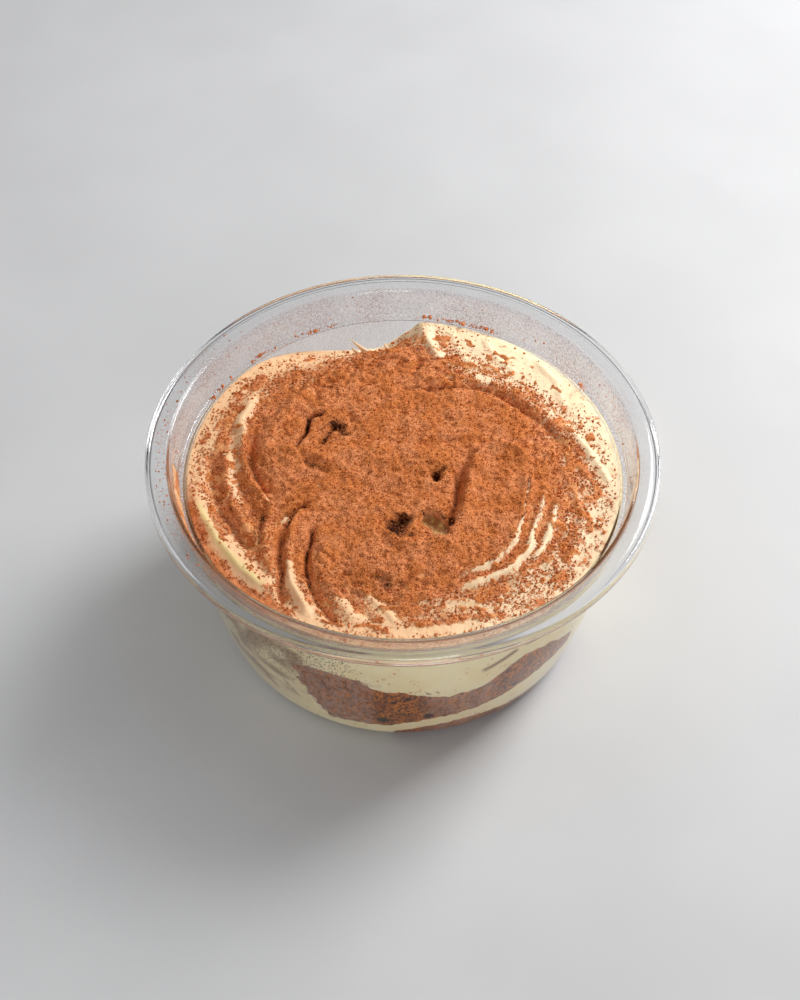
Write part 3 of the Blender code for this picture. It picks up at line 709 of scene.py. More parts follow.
def bottom_outline(angle, z=None):
    """The thin sponge's outline, which is the same at every height."""
    touch = window(angle, -92.0, -22.0) + window(angle, 24.0, 92.0) + window(angle, 128.0, 176.0)
    return 40.5 + 9.5 * touch + 0.6 * np.sin(4.0 * angle + 1.0)


def seam(x, y):
    """Where the two creams meet beside the thick sponge."""
    return 17.5 + 0.1 * x


def inside_outline(x, y, outline):
    """One inside a sponge's outline, falling to zero in a thin margin past it."""
    return ramp((outline(np.arctan2(y, x)) - 0.4 - np.hypot(x, y)) / 1.2)


def floor_cream(x, y):
    return np.full_like(x, FLOOR - 0.1)


def lower_cream_low(x, y):
    room = inside_outline(x, y, bottom_outline)
    return floor_cream(x, y) + (bottom_top(x, y) - ROOM_OVERLAP - FLOOR) * room


def lower_cream_high(x, y):
    room = inside_outline(x, y, middle_outline)
    return seam(x, y) + 0.1 + (middle_bottom(x, y) + ROOM_OVERLAP - seam(x, y)) * room


def upper_cream_low(x, y):
    room = inside_outline(x, y, middle_outline)
    return seam(x, y) - 0.1 + (middle_top(x, y) - ROOM_OVERLAP - seam(x, y)) * room


# Mesh building

def angles(count):
    return 2.0 * np.pi * np.arange(count) / count


def bridge(first, first_count, second, second_count):
    """Triangles between two rings of points; the fuller ring steps first where both are level."""
    faces = []
    i = 0
    j = 0
    while i < first_count or j < second_count:
        next_i = (i + 1) * second_count
        next_j = (j + 1) * first_count
        step_first = next_i < next_j or (next_i == next_j and first_count >= second_count)
        if first_count == 1:
            step_first = False
        if second_count == 1:
            step_first = True
        a = first + i % first_count
        b = second + j % second_count
        if step_first and i < first_count or j >= second_count:
            faces.append((a, first + (i + 1) % first_count, b))
            i += 1
        else:
            faces.append((a, second + (j + 1) % second_count, b))
            j += 1
    return faces


def piece(name, points, faces, look, marks, replaced=None, sharp=None):
    """A mesh piece of the dessert, with the marks that its material reads at each point."""
    mesh = bpy.data.meshes.new(name)
    mesh.from_pydata((points * MM).tolist(), [], faces)
    mesh.update()
    mesh.shade_smooth()
    if sharp is not None:
        mesh.set_sharp_from_angle(angle=math.radians(sharp))
    for key, values in marks.items():
        attribute = mesh.attributes.new(key, "FLOAT", "POINT")
        attribute.data.foreach_set("value", np.ascontiguousarray(values, np.float32))
    mesh.materials.append(look)
    obj = bpy.data.objects.new(name, mesh)
    bpy.context.scene.collection.objects.link(obj)
    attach(obj, "root")
    if replaced:
        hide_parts(replaced)


def on_circle(radius, angle, height):
    """Points at the given radii, angles and heights."""
    return np.stack([radius * np.cos(angle), radius * np.sin(angle), height], -1)


def join_rings(rows):
    """Points and faces of a closed body, from rings that run from the low middle to the high middle."""
    starts = np.cumsum([0] + [len(row) for row in rows])
    faces = []
    for k in range(len(rows) - 1):
        faces += bridge(int(starts[k]), len(rows[k]), int(starts[k + 1]), len(rows[k + 1]))
    return np.vstack(rows), faces


def ring(radius, height, count):
    """One ring of points; radius and height may be functions of the angle and of x and y."""
    a = angles(count)
    r = radius(a) if callable(radius) else np.full(count, float(radius))
    x = r * np.cos(a)
    y = r * np.sin(a)
    z = height(x, y) if callable(height) else np.full(count, float(height))
    return np.stack([x, y, z], 1)


def middle_point(height):
    return ring(0.0, height, 1)


def closed_body(low, low_rows, side_rows, high_rows, high):
    """A body between two levels, from the rings of its underside, side and top."""
    return join_rings([middle_point(low), *low_rows, *side_rows, *high_rows[::-1], middle_point(high)])


def ring_count(radius, spacing):
    return max(6, int(round(2.0 * np.pi * radius / spacing)))


def edge_at(level, reach):
    """A function that gives, for each direction, the radius where a level meets the wall."""
    def wall_at(angle, r):
        return inner_radius(level(r * np.cos(angle), r * np.sin(angle))) + reach

    def radius(angle):
        r = np.full(len(angle), WALL_FOOT_RADIUS)
        # Each step goes part of the way, so that the radius settles also where the level is steep
        for _ in range(24):
            r = 0.6 * r + 0.4 * wall_at(angle, r)
        return np.minimum(r, wall_at(angle, r))
    return radius


def disc_rings(height, edge, spacing):
    """Rings of a surface, evenly from the middle out to an edge."""
    mean = float(edge(angles(12)).mean())
    count = int(round(mean / spacing))
    out = []
    for k in range(1, count + 1):
        share = k / count
        out.append(ring(lambda a, s=share: s * edge(a), height, ring_count(mean * share, spacing)))
    return out


def wall_rings(low, high, reach, rows):
    """Rings up the wall from one level to another, without the two levels' own rings."""
    a = angles(SIDE_SEGMENTS)
    foot = edge_at(low, reach)(a)
    head = edge_at(high, reach)(a)
    start = low(foot * np.cos(a), foot * np.sin(a))
    end = high(head * np.cos(a), head * np.sin(a))
    out = []
    for share in np.arange(1, rows) / rows:
        z = start + (end - start) * share
        out.append(on_circle(inner_radius(z) + reach, a, z))
    return out


def filling(low, high, reach, top_spacing, rows):
    """A body that fills the tub to the wall between two levels."""
    low_rows = disc_rings(low, edge_at(low, reach), COARSE_STEP)
    side_rows = wall_rings(low, high, reach, rows)
    top_rows = disc_rings(high, edge_at(high, reach), top_spacing)
    return closed_body(low, low_rows, side_rows, top_rows, high)


def slab(outline, low, high, rows):
    """A sponge between two levels, soft at its free edge and pressed to the wall where it reaches it."""
    def side(angle, share):
        r = np.full(len(angle), WALL_FOOT_RADIUS)
        for _ in range(4):
            x = r * np.cos(angle)
            y = r * np.sin(angle)
            z = low(x, y) + (high(x, y) - low(x, y)) * share
            free = outline(angle, z) * (1.0 - 0.03 * abs(2.0 * share - 1.0) ** 5)
            crumb = np.clip(noise(np.degrees(angle) * 0.85, z, 0.9, 41), 0.0, 1.0)
            pressed = inner_radius(z) + SPONGE_REACH - SPONGE_PORE_DEPTH * crumb
            r = np.minimum(free, pressed)
        return r, z

    def level_edge(share):
        return lambda angle: side(angle, share)[0]

    low_rows = disc_rings(low, level_edge(0.0), COARSE_STEP)[:-1]
    high_rows = disc_rings(high, level_edge(1.0), COARSE_STEP)[:-1]
    a = angles(SIDE_SEGMENTS)
    side_rows = []
    for share in np.linspace(0.0, 1.0, rows):
        r, z = side(a, share)
        side_rows.append(on_circle(r, a, z))
    return closed_body(low, low_rows, side_rows, high_rows, high)


# Materials

class Look:
    """A material under construction: add() makes a node, and a socket given as an input is linked."""

    def __init__(self, name, roughness):
        self.material = bpy.data.materials.new(name)
        self.material.use_nodes = True
        self.tree = self.material.node_tree
        self.shader = self.tree.nodes["Principled BSDF"]
        self.give("Roughness", roughness)
        self.place = self.tree.nodes.new("ShaderNodeTexCoord").outputs["Object"]

    def squeeze(self, upright):
        """Stretches the patterns that follow along the height, or shortens them."""
        self.place = self.add("ShaderNodeMapping", {"Vector": self.place, "Scale": (1.0, 1.0, upright)})

    def feed(self, socket, value):
        if isinstance(value, bpy.types.NodeSocket):
            self.tree.links.new(value, socket)
        else:
            socket.default_value = value

    def give(self, name, value):
        """Sets or links an input of the shader."""
        self.feed(self.shader.inputs[name], value)

    def add(self, kind, inputs, output=0, **settings):
        node = self.tree.nodes.new(kind)
        for key, value in settings.items():
            setattr(node, key, value)
        for key, value in inputs.items():
            self.feed(node.inputs[key], value)
        return node.outputs[output]

    def noise(self, size, detail=2.0, roughness=0.55):
        """A noise whose features are about the given size in millimetres."""
        return self.add("ShaderNodeTexNoise", {"Vector": self.place, "Scale": 1.0 / (size * MM),
                                               "Detail": detail, "Roughness": roughness}, "Fac")

    def cells(self, size):
        """The distance to the nearest of many scattered points."""
        scale = 1.0 / (size * MM)
        return self.add("ShaderNodeTexVoronoi", {"Vector": self.place, "Scale": scale}, "Distance")

    def mark(self, name):
        return self.add("ShaderNodeAttribute", {}, "Fac", attribute_name=name)

    def math(self, operation, first, second=0.0, third=0.0):
        return self.add("ShaderNodeMath", {0: first, 1: second, 2: third}, operation=operation)

    def plus(self, first, second):
        return self.math("ADD", first, second)

    def times(self, first, second):
        return self.math("MULTIPLY", first, second)

    def scaled(self, value, factor, shift):
        return self.math("MULTIPLY_ADD", value, factor, shift)

    def uneven(self, amount, size, detail=2.0, roughness=0.55):
        """A noise about zero, times an amount."""
        return self.times(self.math("SUBTRACT", self.noise(size, detail, roughness), 0.5), amount)

    def step(self, value, low, high):
        """Zero below low and one above high, smooth between."""
        return self.add("ShaderNodeMapRange", {"Value": value, "From Min": low, "From Max": high},
                        interpolation_type="SMOOTHSTEP", clamp=True)

    def mix(self, factor, first, second):
        """The first colour where the factor is zero, and the second where it is one."""
        node = self.tree.nodes.new("ShaderNodeMix")
        node.data_type = "RGBA"
        colours = [s for s in node.inputs if s.type == "RGBA"]
        self.feed(node.inputs[0], factor)
        self.feed(colours[0], first)
        self.feed(colours[1], second)
        return [s for s in node.outputs if s.type == "RGBA"][0]

    def bump(self, height, depth):
        """Fine relief of the given depth in millimetres."""
        return self.add("ShaderNodeBump", {"Height": height, "Distance": depth * MM, "Strength": 1.0})


def tone(red, green, blue):
    """A colour given as it shows on a screen, from 0 to 255."""
    return tuple(((c / 255.0 + 0.055) / 1.055) ** 2.4 for c in (red, green, blue)) + (1.0,)


COCOA_LIT = tone(238, 154, 102)
COCOA_MEAN = tone(226, 138, 80)
COCOA_DEEP = tone(154, 74, 18)
# The darkest cocoa: painted shade in slits and pits, moist cocoa, and the dark specks on the cream
COCOA_DAMP_AND_SHADE = tone(64, 30, 14)
# The paler cream tone also carries painted light on the right and the back of the cream
CREAM_PALE_AND_LIT = tone(250, 221, 180)
CREAM_WARM = tone(246, 200, 152)
# A yellower cream, used at random on the side and as the painted sheen along the wet edge
CREAM_YELLOW_SHEEN = tone(240, 214, 150)
CREAM_SIDE = tone(248, 234, 196)
CREAM_HAZE = tone(238, 172, 116)
WINDOW_BROWN = tone(158, 104, 52)
WINDOW_OLIVE = tone(206, 170, 100)
STAIN_BROWN = tone(134, 88, 54)
SPONGE_BRIGHT = tone(212, 124, 26)
SPONGE_MEAN = tone(170, 90, 16)
SPONGE_SOAKED = tone(92, 42, 8)
SPONGE_PORE = tone(50, 22, 6)
SPONGE_FILM = tone(184, 150, 132)
DUST_BROWN = tone(190, 128, 86)


def cocoa_colour(look):
    """Cocoa in fine lit and deep grains, with darker clusters, and darker where its dark mark paints shade
    and moist cocoa.
    """
    broad = look.step(look.noise(5.0), 0.38, 0.62)
    clusters = look.uneven(0.38, 1.1, 3.0, 0.65)
    fine = look.step(look.plus(look.noise(0.30, 3.0, 0.75), clusters), 0.36, 0.58)
    colour = look.mix(fine, COCOA_DEEP, look.mix(broad, COCOA_MEAN, COCOA_LIT))
    # Painted shade in slits, pits and valleys, and moist cocoa, from the dark mark
    damp_and_shade = look.times(look.mark("dark"), look.scaled(look.noise(0.55, 3.0, 0.7), 3.6, -0.9))
    return look.mix(look.step(damp_and_shade, 0.05, 0.9), colour, COCOA_DAMP_AND_SHADE)


def cocoa_look():
    """Dry cocoa that lets the cream show through where it lies thin."""
    look = Look("cocoa_powder_look", 0.95)
    thin = look.plus(look.noise(0.35, 3.0, 0.7), look.mark("thin"))
    show = look.times(look.step(thin, 0.86, 1.2), 0.75)
    look.give("Base Color", look.mix(show, cocoa_colour(look), CREAM_HAZE))
    look.give("Specular IOR Level", 0.12)
    look.give("Normal", look.bump(look.noise(0.36, 2.0, 0.7), 0.26))
    return look.material


def speckle(look, amount, size, spread):
    """A mask of cocoa specks of about a size that grow denser with the amount."""
    fine = look.uneven(2.4, size, 3.0, 0.65)
    patches = look.uneven(spread, 2.2)
    value = look.plus(look.plus(fine, patches), look.times(amount, 0.85))
    return look.step(value, 0.40, 0.66)


def cream_look():
    """Mascarpone cream, speckled with cocoa, and stained where it lies against the wall; its right and
    back are lightened with painted light, its wet edge carries a painted sheen and its cocoa specks
    painted shade.
    """
    look = Look("cream_look", 0.42)
    dust = look.mark("dust")
    # Painted light: the cream is made paler on the right and at the back, where the light falls, besides
    # at random
    broad = look.plus(look.uneven(0.9, 7.0), look.mark("pale_and_lit"))
    colour = look.mix(look.step(broad, 0.0, 1.0), CREAM_WARM, CREAM_PALE_AND_LIT)
    # Painted sheen: a yellower line along the wet edge at the front left, and a yellower band at the wall
    colour = look.mix(look.mark("wet"), colour, CREAM_YELLOW_SHEEN)
    side_tone = look.mix(look.step(look.noise(9.0), 0.35, 0.65), CREAM_SIDE, CREAM_YELLOW_SHEEN)
    colour = look.mix(look.mark("side"), colour, look.mix(0.35, CREAM_SIDE, side_tone))
    # Cocoa dust in the cream's surface, and what shows through the wall
    hazed = look.times(look.step(look.noise(1.0, 3.0, 0.7), 0.28, 0.64), look.step(dust, 0.05, 0.7))
    most = look.scaled(look.mark("pale_and_lit"), -0.35, 0.75)
    colour = look.mix(look.times(hazed, most), colour, CREAM_HAZE)
    colour = look.mix(look.mark("stain"), colour, STAIN_BROWN)
    pool = look.mix(look.step(look.noise(1.6), 0.42, 0.66), WINDOW_BROWN, WINDOW_OLIVE)
    colour = look.mix(look.mark("window"), colour, pool)
    specks = look.math("MAXIMUM", speckle(look, dust, 0.8, 1.6), speckle(look, dust, 0.3, 1.0))
    colour = look.mix(specks, colour, cocoa_colour(look))
    # Dark cocoa specks on the cream at the wall, in the darkest cocoa colour
    dots = look.step(look.cells(0.55), 0.40, 0.28)
    dotted = look.times(dots, look.step(look.plus(look.noise(0.6), look.mark("specks")), 0.62, 1.0))
    look.give("Base Color", look.mix(look.times(dotted, 0.85), colour, COCOA_DAMP_AND_SHADE))
    look.give("Roughness", look.scaled(specks, 0.4, 0.5))
    look.give("Specular IOR Level", 0.35)
    look.give("Subsurface Weight", 0.12)
    look.give("Subsurface Radius", (1.0, 0.6, 0.35))
    look.give("Subsurface Scale", 1.2 * MM)
    look.give("Normal", look.bump(look.scaled(specks, 0.8, look.noise(0.8, 3.0, 0.6)), 0.09))
    return look.material


def sponge_look():
    """Soaked sponge: open crumb with dark pores, and a thin haze of cream where it is smeared."""
    look = Look("soaked_sponge_look", 0.55)
    look.squeeze(0.62)
    crumb = look.step(look.noise(0.75, 4.0, 0.75), 0.41, 0.57)
    broad = look.step(look.noise(3.6, 3.0), 0.38, 0.60)
    colour = look.mix(crumb, SPONGE_SOAKED, look.mix(broad, SPONGE_MEAN, SPONGE_BRIGHT))
    gaps = look.step(look.plus(look.cells(1.5), look.times(look.noise(0.7, 3.0), 0.6)), 0.54, 0.42)
    torn = look.times(look.mark("pits"), look.scaled(look.noise(0.8, 3.0), 2.0, 0.2))
    colour = look.mix(look.math("MAXIMUM", gaps, look.step(torn, 0.3, 0.7)), colour, SPONGE_PORE)
    smears = look.scaled(look.step(look.noise(1.3, 4.0, 0.75), 0.38, 0.60), 0.75, 0.12)
    colour = look.mix(look.times(look.mark("film"), smears), colour, SPONGE_FILM)
    look.give("Base Color", look.mix(look.mark("cream_line"), colour, CREAM_SIDE))
    look.give("Normal", look.bump(look.noise(0.7, 3.0, 0.6), 0.10))
    return look.material


def plastic_look():
    """Clear thin plastic that lets light through, with a film of cocoa dust where it is marked."""
    look = Look("clear_plastic_look", 0.04)
    look.give("Base Color", (0.92, 0.93, 0.94, 1.0))
    look.give("Transmission Weight", 1.0)
    look.give("IOR", 1.46)
    passing = look.add("ShaderNodeLightPath", {}, "Is Shadow Ray")
    through = look.add("ShaderNodeBsdfTransparent", {"Color": (0.93, 0.94, 0.94, 1.0)})
    clear = look.add("ShaderNodeMixShader", {0: passing, 1: look.shader.outputs[0], 2: through})
    powder = look.add("ShaderNodeBsdfDiffuse", {"Color": DUST_BROWN, "Roughness": 1.0})
    veil = look.scaled(look.step(look.noise(0.45, 3.0, 0.7), 0.40, 0.66), 0.85, 0.15)
    amount = look.times(veil, look.mark("dust"))
    both = look.add("ShaderNodeMixShader", {0: amount, 1: clear, 2: powder})
    look.feed(look.tree.nodes["Material Output"].inputs["Surface"], both)
    return look.material


def floor_look():
    look = Look("floor_look", 0.6)
    shade = look.step(look.noise(60.0), 0.3, 0.7)
    look.give("Base Color", look.mix(shade, tone(202, 202, 203), tone(207, 207, 208)))
    return look.material


# Marks that the materials read

def polar(points):
    return np.arctan2(points[:, 1], points[:, 0]), np.hypot(points[:, 0], points[:, 1])


def wall_stroke(angle, z, line, width):
    """A stroke on the wall, from the direction and height of each of its points."""
    direction, height = np.array(line, float).reshape(-1, 2).T
    places = np.stack([WALL_FOOT_RADIUS * np.radians(direction), height], 1)
    return stroke(WALL_FOOT_RADIUS * angle, z, places, width, width)


def at_wall(points):
    """One on a filling's side and zero on its top."""
    _, radius = polar(points)
    return ramp((radius - inner_radius(points[:, 2])) / 0.1)


def cream_marks(points):
    """Cocoa, painted sheen on the wet edge, painted light, painted shade, stains and dark specks of the
    creams.
    """
    x, y, z = points.T
    angle, radius = polar(points)
    side = at_wall(points) * (z < cream_top(x, y) - 0.15)
    dust = np.maximum(sample(COVER, x, y), LEAST_DUST + 0.08 * noise(x, y, 6.0, 53))
    along = np.degrees(angle)
    stain = side * sum(amount * wall_stroke(angle, z, line, width) for line, width, amount in WALL_STREAKS)
    patch = 0.5 + 0.5 * noise(along * 0.8, z, 5.0, 51)
    speckled = window(angle, -152.0, -104.0, 22.0) * ramp((z - 14.0) / 16.0) * (0.5 + 0.5 * patch)
    speckled += 0.5 * patch ** 2 * ramp((z - 30.0) / 12.0) * (1.0 - window(angle, -104.0, -20.0, 14.0))
    mottled = 0.5 + 0.5 * noise(along * 0.8, z, 3.4, 52)
    beige = window(angle, -160.0, -111.0, 14.0) * (0.08 + 0.6 * ramp((mottled - 0.35) / 0.4))
    beige = beige * ramp((z - 8.0) / 8.0)
    # Painted sheen along the wet edge on the top, and a yellower band on the side
    wet = stroke(x, y, WET_SHEEN_LINE, 1.4, 1.4) * (1.0 - side) + side * wall_stroke(angle, z, YELLOW_BAND, 1.6)
    pool = stroke(x, y, POOL_LINE, 3.8, 3.8) * (1.0 - side)
    return {
        "dust": np.where(side > 0.5, 0.0, dust),
        "stain": np.clip(stain + side * beige, 0.0, 1.0),
        "specks": side * speckled,
        "wet": np.clip(wet, 0.0, 1.0),
        "window": ramp(pool / 0.4),
        # Painted shade of the cocoa's slits and valleys, and its moist patches, for the cocoa specks in
        # the cream
        "dark": sample(DAMP_AND_SHADE, x, y) * 0.6,
        "side": side,
        # Painted light: paler cream on the right and at the back, where the light falls
        "pale_and_lit": window(angle, -70.0, 105.0, 50.0),
    }


def cocoa_marks(points):
    """Painted shade and moist dark cocoa, and cocoa so thin that the cream shows through it."""
    x, y, _ = points.T
    return {"dark": sample(DAMP_AND_SHADE, x, y), "thin": 1.0 - ramp((sample(COCOA, x, y) - 0.02) / 0.34)}


def sponge_marks(points):
    """Cream between the sponge and the wall, as a haze and in thin lines, and the sponge's open pits."""
    angle, _ = polar(points)
    z = points[:, 2]
    film = sum(amount * window(angle, *run) for amount, *run in SPONGE_HAZE)
    lines = sum(amount * wall_stroke(angle, z, line, width) for line, width, amount in SPONGE_LINES)
    pits = np.zeros(len(points))
    for place, height, size in SPONGE_PITS:
        across = WALL_FOOT_RADIUS * (angle - math.radians(place))
        pits += bell(np.hypot(across, z - height) / (2.0 * size))
    film = np.clip(film, 0.0, 1.0) * (1.0 - pits)
    return {"film": film, "cream_line": np.clip(lines, 0.0, 1.0), "pits": pits}


def tub_marks(points):
    """Where a film of cocoa dust lies on the tub."""
    angle, radius = polar(points)
    z = points[:, 2]
    along = np.degrees(angle)
    patch = 0.5 + 0.5 * noise(along * 0.9, z, 7.0, 61)
    inner = (radius < collar_radius(z) + 0.3) * (z > LEDGE_HEIGHT - 0.2) * (z < RIM_HEIGHT - 0.4)
    collar = inner * (0.26 + 0.32 * patch)
    collar = collar + inner * 0.30 * window(angle, -175.0, -120.0, 20.0)
    inside = (z > 36.0) * (z < LEDGE_HEIGHT) * (radius < inner_radius(z) + 0.1)
    crescent = inside * 0.30 * window(angle, 88.0, 152.0, 10.0) * (0.5 + 0.5 * patch)
    flat = (z > RIM_HEIGHT - 0.3) * (radius > MOUTH_RADIUS + 0.3) * (radius < FLANGE_EDGE - 0.8)
    inside_edge = ramp((MOUTH_RADIUS + 3.4 - radius) / 2.0)
    flange = flat * (0.24 * window(angle, 140.0, 228.0, 22.0) * patch + 0.03 + 0.22 * inside_edge * patch)
    return {"dust": collar + crescent + flange}


# Scattered grains

def grain_shape():
    """Points and triangles of a small solid with 20 faces."""
    g = (1.0 + math.sqrt(5.0)) / 2.0
    pairs = [(-1, g), (1, g), (-1, -g), (1, -g)]
    points = [(a, b, 0) for a, b in pairs] + [(0, a, b) for a, b in pairs] + [(b, 0, a) for a, b in pairs]
    triangles = [(0, 11, 5), (0, 5, 1), (0, 1, 7), (0, 7, 10), (0, 10, 11), (1, 5, 9), (5, 11, 4),
                 (11, 10, 2), (10, 7, 6), (7, 1, 8), (3, 9, 4), (3, 4, 2), (3, 2, 6), (3, 6, 8),
                 (3, 8, 9), (4, 9, 5), (2, 4, 11), (6, 2, 10), (8, 6, 7), (9, 8, 1)]
    return np.array(points) / math.hypot(1.0, g), np.array(triangles)


def grains(name, places, sizes, look, seed):
    """Crumbly grains of given sizes at given places, all in one piece."""
    rng = np.random.default_rng(seed)
    shape, triangles = grain_shape()
    count = len(places)
    spin = rng.uniform(0.0, 2.0 * np.pi, (count, 2))
    wobble = rng.uniform(0.62, 1.15, (count, len(shape)))
    squash = rng.uniform(0.7, 1.2, (count, 3))
    local = shape[None] * wobble[..., None] * squash[:, None, :]
    c, s = np.cos(spin[:, :1]), np.sin(spin[:, :1])
    x = local[..., 0] * c - local[..., 1] * s
    y = local[..., 0] * s + local[..., 1] * c
    c, s = np.cos(spin[:, 1:]), np.sin(spin[:, 1:])
    turned = np.stack([x, y * c - local[..., 2] * s, y * s + local[..., 2] * c], -1)
    points = places[:, None, :] + turned * sizes[:, None, None] / 2.0
    offsets = np.arange(count)[:, None, None] * len(shape)
    faces = (triangles[None] + offsets).reshape(-1, 3).tolist()
    marks = {"dark": np.repeat(rng.uniform(0.0, 0.22, count), len(shape))}
    piece(name, points.reshape(-1, 3), faces, look, marks)


def scatter(rng, density, low_radius, high_radius):
    """Places over the top, more of them where the density is high."""
    radius = np.sqrt(rng.uniform(low_radius ** 2, high_radius ** 2, TOP_TRIES))
    angle = rng.uniform(-np.pi, np.pi, TOP_TRIES)
    x = radius * np.cos(angle)
    y = radius * np.sin(angle)
    keep = rng.uniform(0.0, 1.0, len(x)) < density(x, y)
    return x[keep][:TOP_GRAINS], y[keep][:TOP_GRAINS]


def grain_sizes(rng, count, middle, most):
    return np.clip(middle * np.exp(rng.normal(0.0, SIZE_SPREAD, count)), LEAST_GRAIN, most)


# Pieces

def build_tub(look):
    rows = [ring(r, z, TUB_SEGMENTS) for r, z in tub_profile()]
    points, faces = join_rings([middle_point(0.0)] + rows + [middle_point(FLOOR)])
    piece("clear_tub", points, faces, look, tub_marks(points), "tub", 60.0)


def build_creams(look):
    points, faces = filling(upper_cream_low, cream_top, CREAM_REACH, FINE_STEP, 26)
    piece("whipped_top_cream", points, faces, look, cream_marks(points), "top_cream")
    points, faces = filling(lower_cream_low, lower_cream_high, CREAM_REACH - 0.03, COARSE_STEP, 20)
    piece("lower_cream_layer", points, faces, look, cream_marks(points), "lower_cream")


def build_sponges(look):
    points, faces = slab(middle_outline, middle_bottom, middle_top, 46)
    piece("thick_sponge", points, faces, look, sponge_marks(points), "middle_sponge")
    points, faces = slab(bottom_outline, bottom_bottom, bottom_top, 14)
    piece("thin_sponge", points, faces, look, sponge_marks(points), "bottom_sponge")


def build_cocoa(look):
    """The cocoa blanket, which sinks under the cream's surface where the cream is bare."""
    def edge(angle):
        return np.full_like(angle, BED_RADIUS)

    low_rows = disc_rings(cocoa_under, edge, 1.6)
    high_rows = disc_rings(cocoa_top, edge, FINE_STEP)
    points, faces = closed_body(cocoa_under, low_rows, [], high_rows, cocoa_top)
    piece("cocoa_blanket", points, faces, look, cocoa_marks(points), "cocoa_powder")


def build_top_grains(look):
    """Loose grains on the blanket and on the cream around it."""
    def on_blanket(u, v):
        return ramp(sample(COCOA, u, v) / 0.3)

    def on_cream(u, v):
        bare = sample(COCOA, u, v) < 0.05
        return np.clip(sample(COVER, u, v) * 1.3 + 0.03, 0.0, 1.0) * bare

    rng = np.random.default_rng(71)
    x, y = scatter(rng, on_blanket, 0.0, BED_RADIUS - 0.5)
    sizes = grain_sizes(rng, len(x), 0.34, 0.75)
    places = np.stack([x, y, cocoa_top(x, y) + 0.05 * sizes], 1)
    grains("cocoa_grains_on_blanket", places, sizes, look, 72)
    x, y = scatter(rng, on_cream, 8.0, 49.4)
    sizes = grain_sizes(rng, len(x), 0.36, 1.1)
    places = np.stack([x, y, cream_top(x, y) + 0.18 * sizes], 1)
    grains("cocoa_grains_on_cream", places, sizes, look, 73)


def build_tub_grains(look):
    """Cocoa clumps on the ledge at the back, and a few grains on the flange and the collar."""
    rng = np.random.default_rng(81)
    angle = np.radians(rng.uniform(30.0, 175.0, LEDGE_GRAINS))
    angle = angle[noise(np.degrees(angle), 0.0 * angle, 9.0, 82) > -0.1]
    radius = rng.uniform(50.5, 51.6, len(angle))
    ledge_sizes = grain_sizes(rng, len(angle), 0.5, 1.3)
    ledge = on_circle(radius, angle, LEDGE_HEIGHT + 0.3 * ledge_sizes)
    angle = np.radians(rng.normal(188.0, 24.0, FLANGE_GRAINS))
    radius = rng.uniform(MOUTH_RADIUS + 0.8, FLANGE_EDGE - 1.9, FLANGE_GRAINS)
    flange_sizes = grain_sizes(rng, FLANGE_GRAINS, 0.32, 0.8)
    flange = on_circle(radius, angle, RIM_HEIGHT - 0.2 + 0.2 * flange_sizes)
    angle = rng.uniform(-np.pi, np.pi, COLLAR_GRAINS)
    height = LEDGE_HEIGHT + rng.uniform(0.3, 6.8, COLLAR_GRAINS)
    collar_sizes = grain_sizes(rng, COLLAR_GRAINS, 0.28, 0.6)
    collar = on_circle(collar_radius(height) - 0.05, angle, height)
    sizes = np.concatenate([ledge_sizes, flange_sizes, collar_sizes])
    grains("cocoa_grains_on_tub", np.vstack([ledge, flange, collar]), sizes, look, 83)


def build_smear(look):
    """A thin smear of cream on the collar at the front left, where it stands out of the plastic."""
    start, end = SMEAR_RUN
    columns, rows = 150, 30
    t, h = np.meshgrid(np.radians(np.linspace(start, end, columns)),
                       np.linspace(LEDGE_HEIGHT + 0.05, RIM_HEIGHT - 1.4, rows), indexing="ij")
    top = 50.6 - 4.6 * ramp((np.degrees(t) - start) / (end - start))
    body = np.minimum((top - h) / 1.2, 1.0) + 0.55 * noise(np.degrees(t) * 0.9, h, 1.7, 91)
    body *= bell((np.degrees(t) - (start + end) / 2.0) / ((end - start) / 2.0)) ** 0.4
    thick = np.clip(body * 0.5 - 0.12, -0.2, 0.42)
    front = on_circle(collar_radius(h) - thick, t, h).reshape(-1, 3)
    back = on_circle(collar_radius(h) + 0.3, t, h).reshape(-1, 3)
    index = np.arange(columns * rows).reshape(columns, rows)
    quads = np.stack([index[:-1, :-1], index[1:, :-1], index[1:, 1:], index[:-1, 1:]], -1)
    quads = quads[thick[:-1, :-1] + thick[1:, 1:] > -0.04].tolist()
    # Both sides, and a strip round the rim, where an edge has a quad on one side alone
    edges = {(q[k], q[(k + 1) % 4]) for q in quads for k in range(4)}
    rim = sorted(edge for edge in edges if edge[::-1] not in edges)
    lifted = columns * rows
    faces = [q[::-1] for q in quads] + [[corner + lifted for corner in q] for q in quads]
    faces += [[a, b, b + lifted, a + lifted] for a, b in rim]
    used, renumbered = np.unique(np.array(faces), return_inverse=True)
    points = np.vstack([front, back])[used]
    whole = cream_marks(points)
    marks = {key: whole[key] for key in ("wet", "dark", "pale_and_lit")}
    marks["dust"] = 0.42 + 0.3 * noise(np.degrees(polar(points)[0]), points[:, 2], 2.0, 92)
    piece("cream_smear_on_collar", points, renumbered.reshape(-1, 4).tolist(), look, marks)


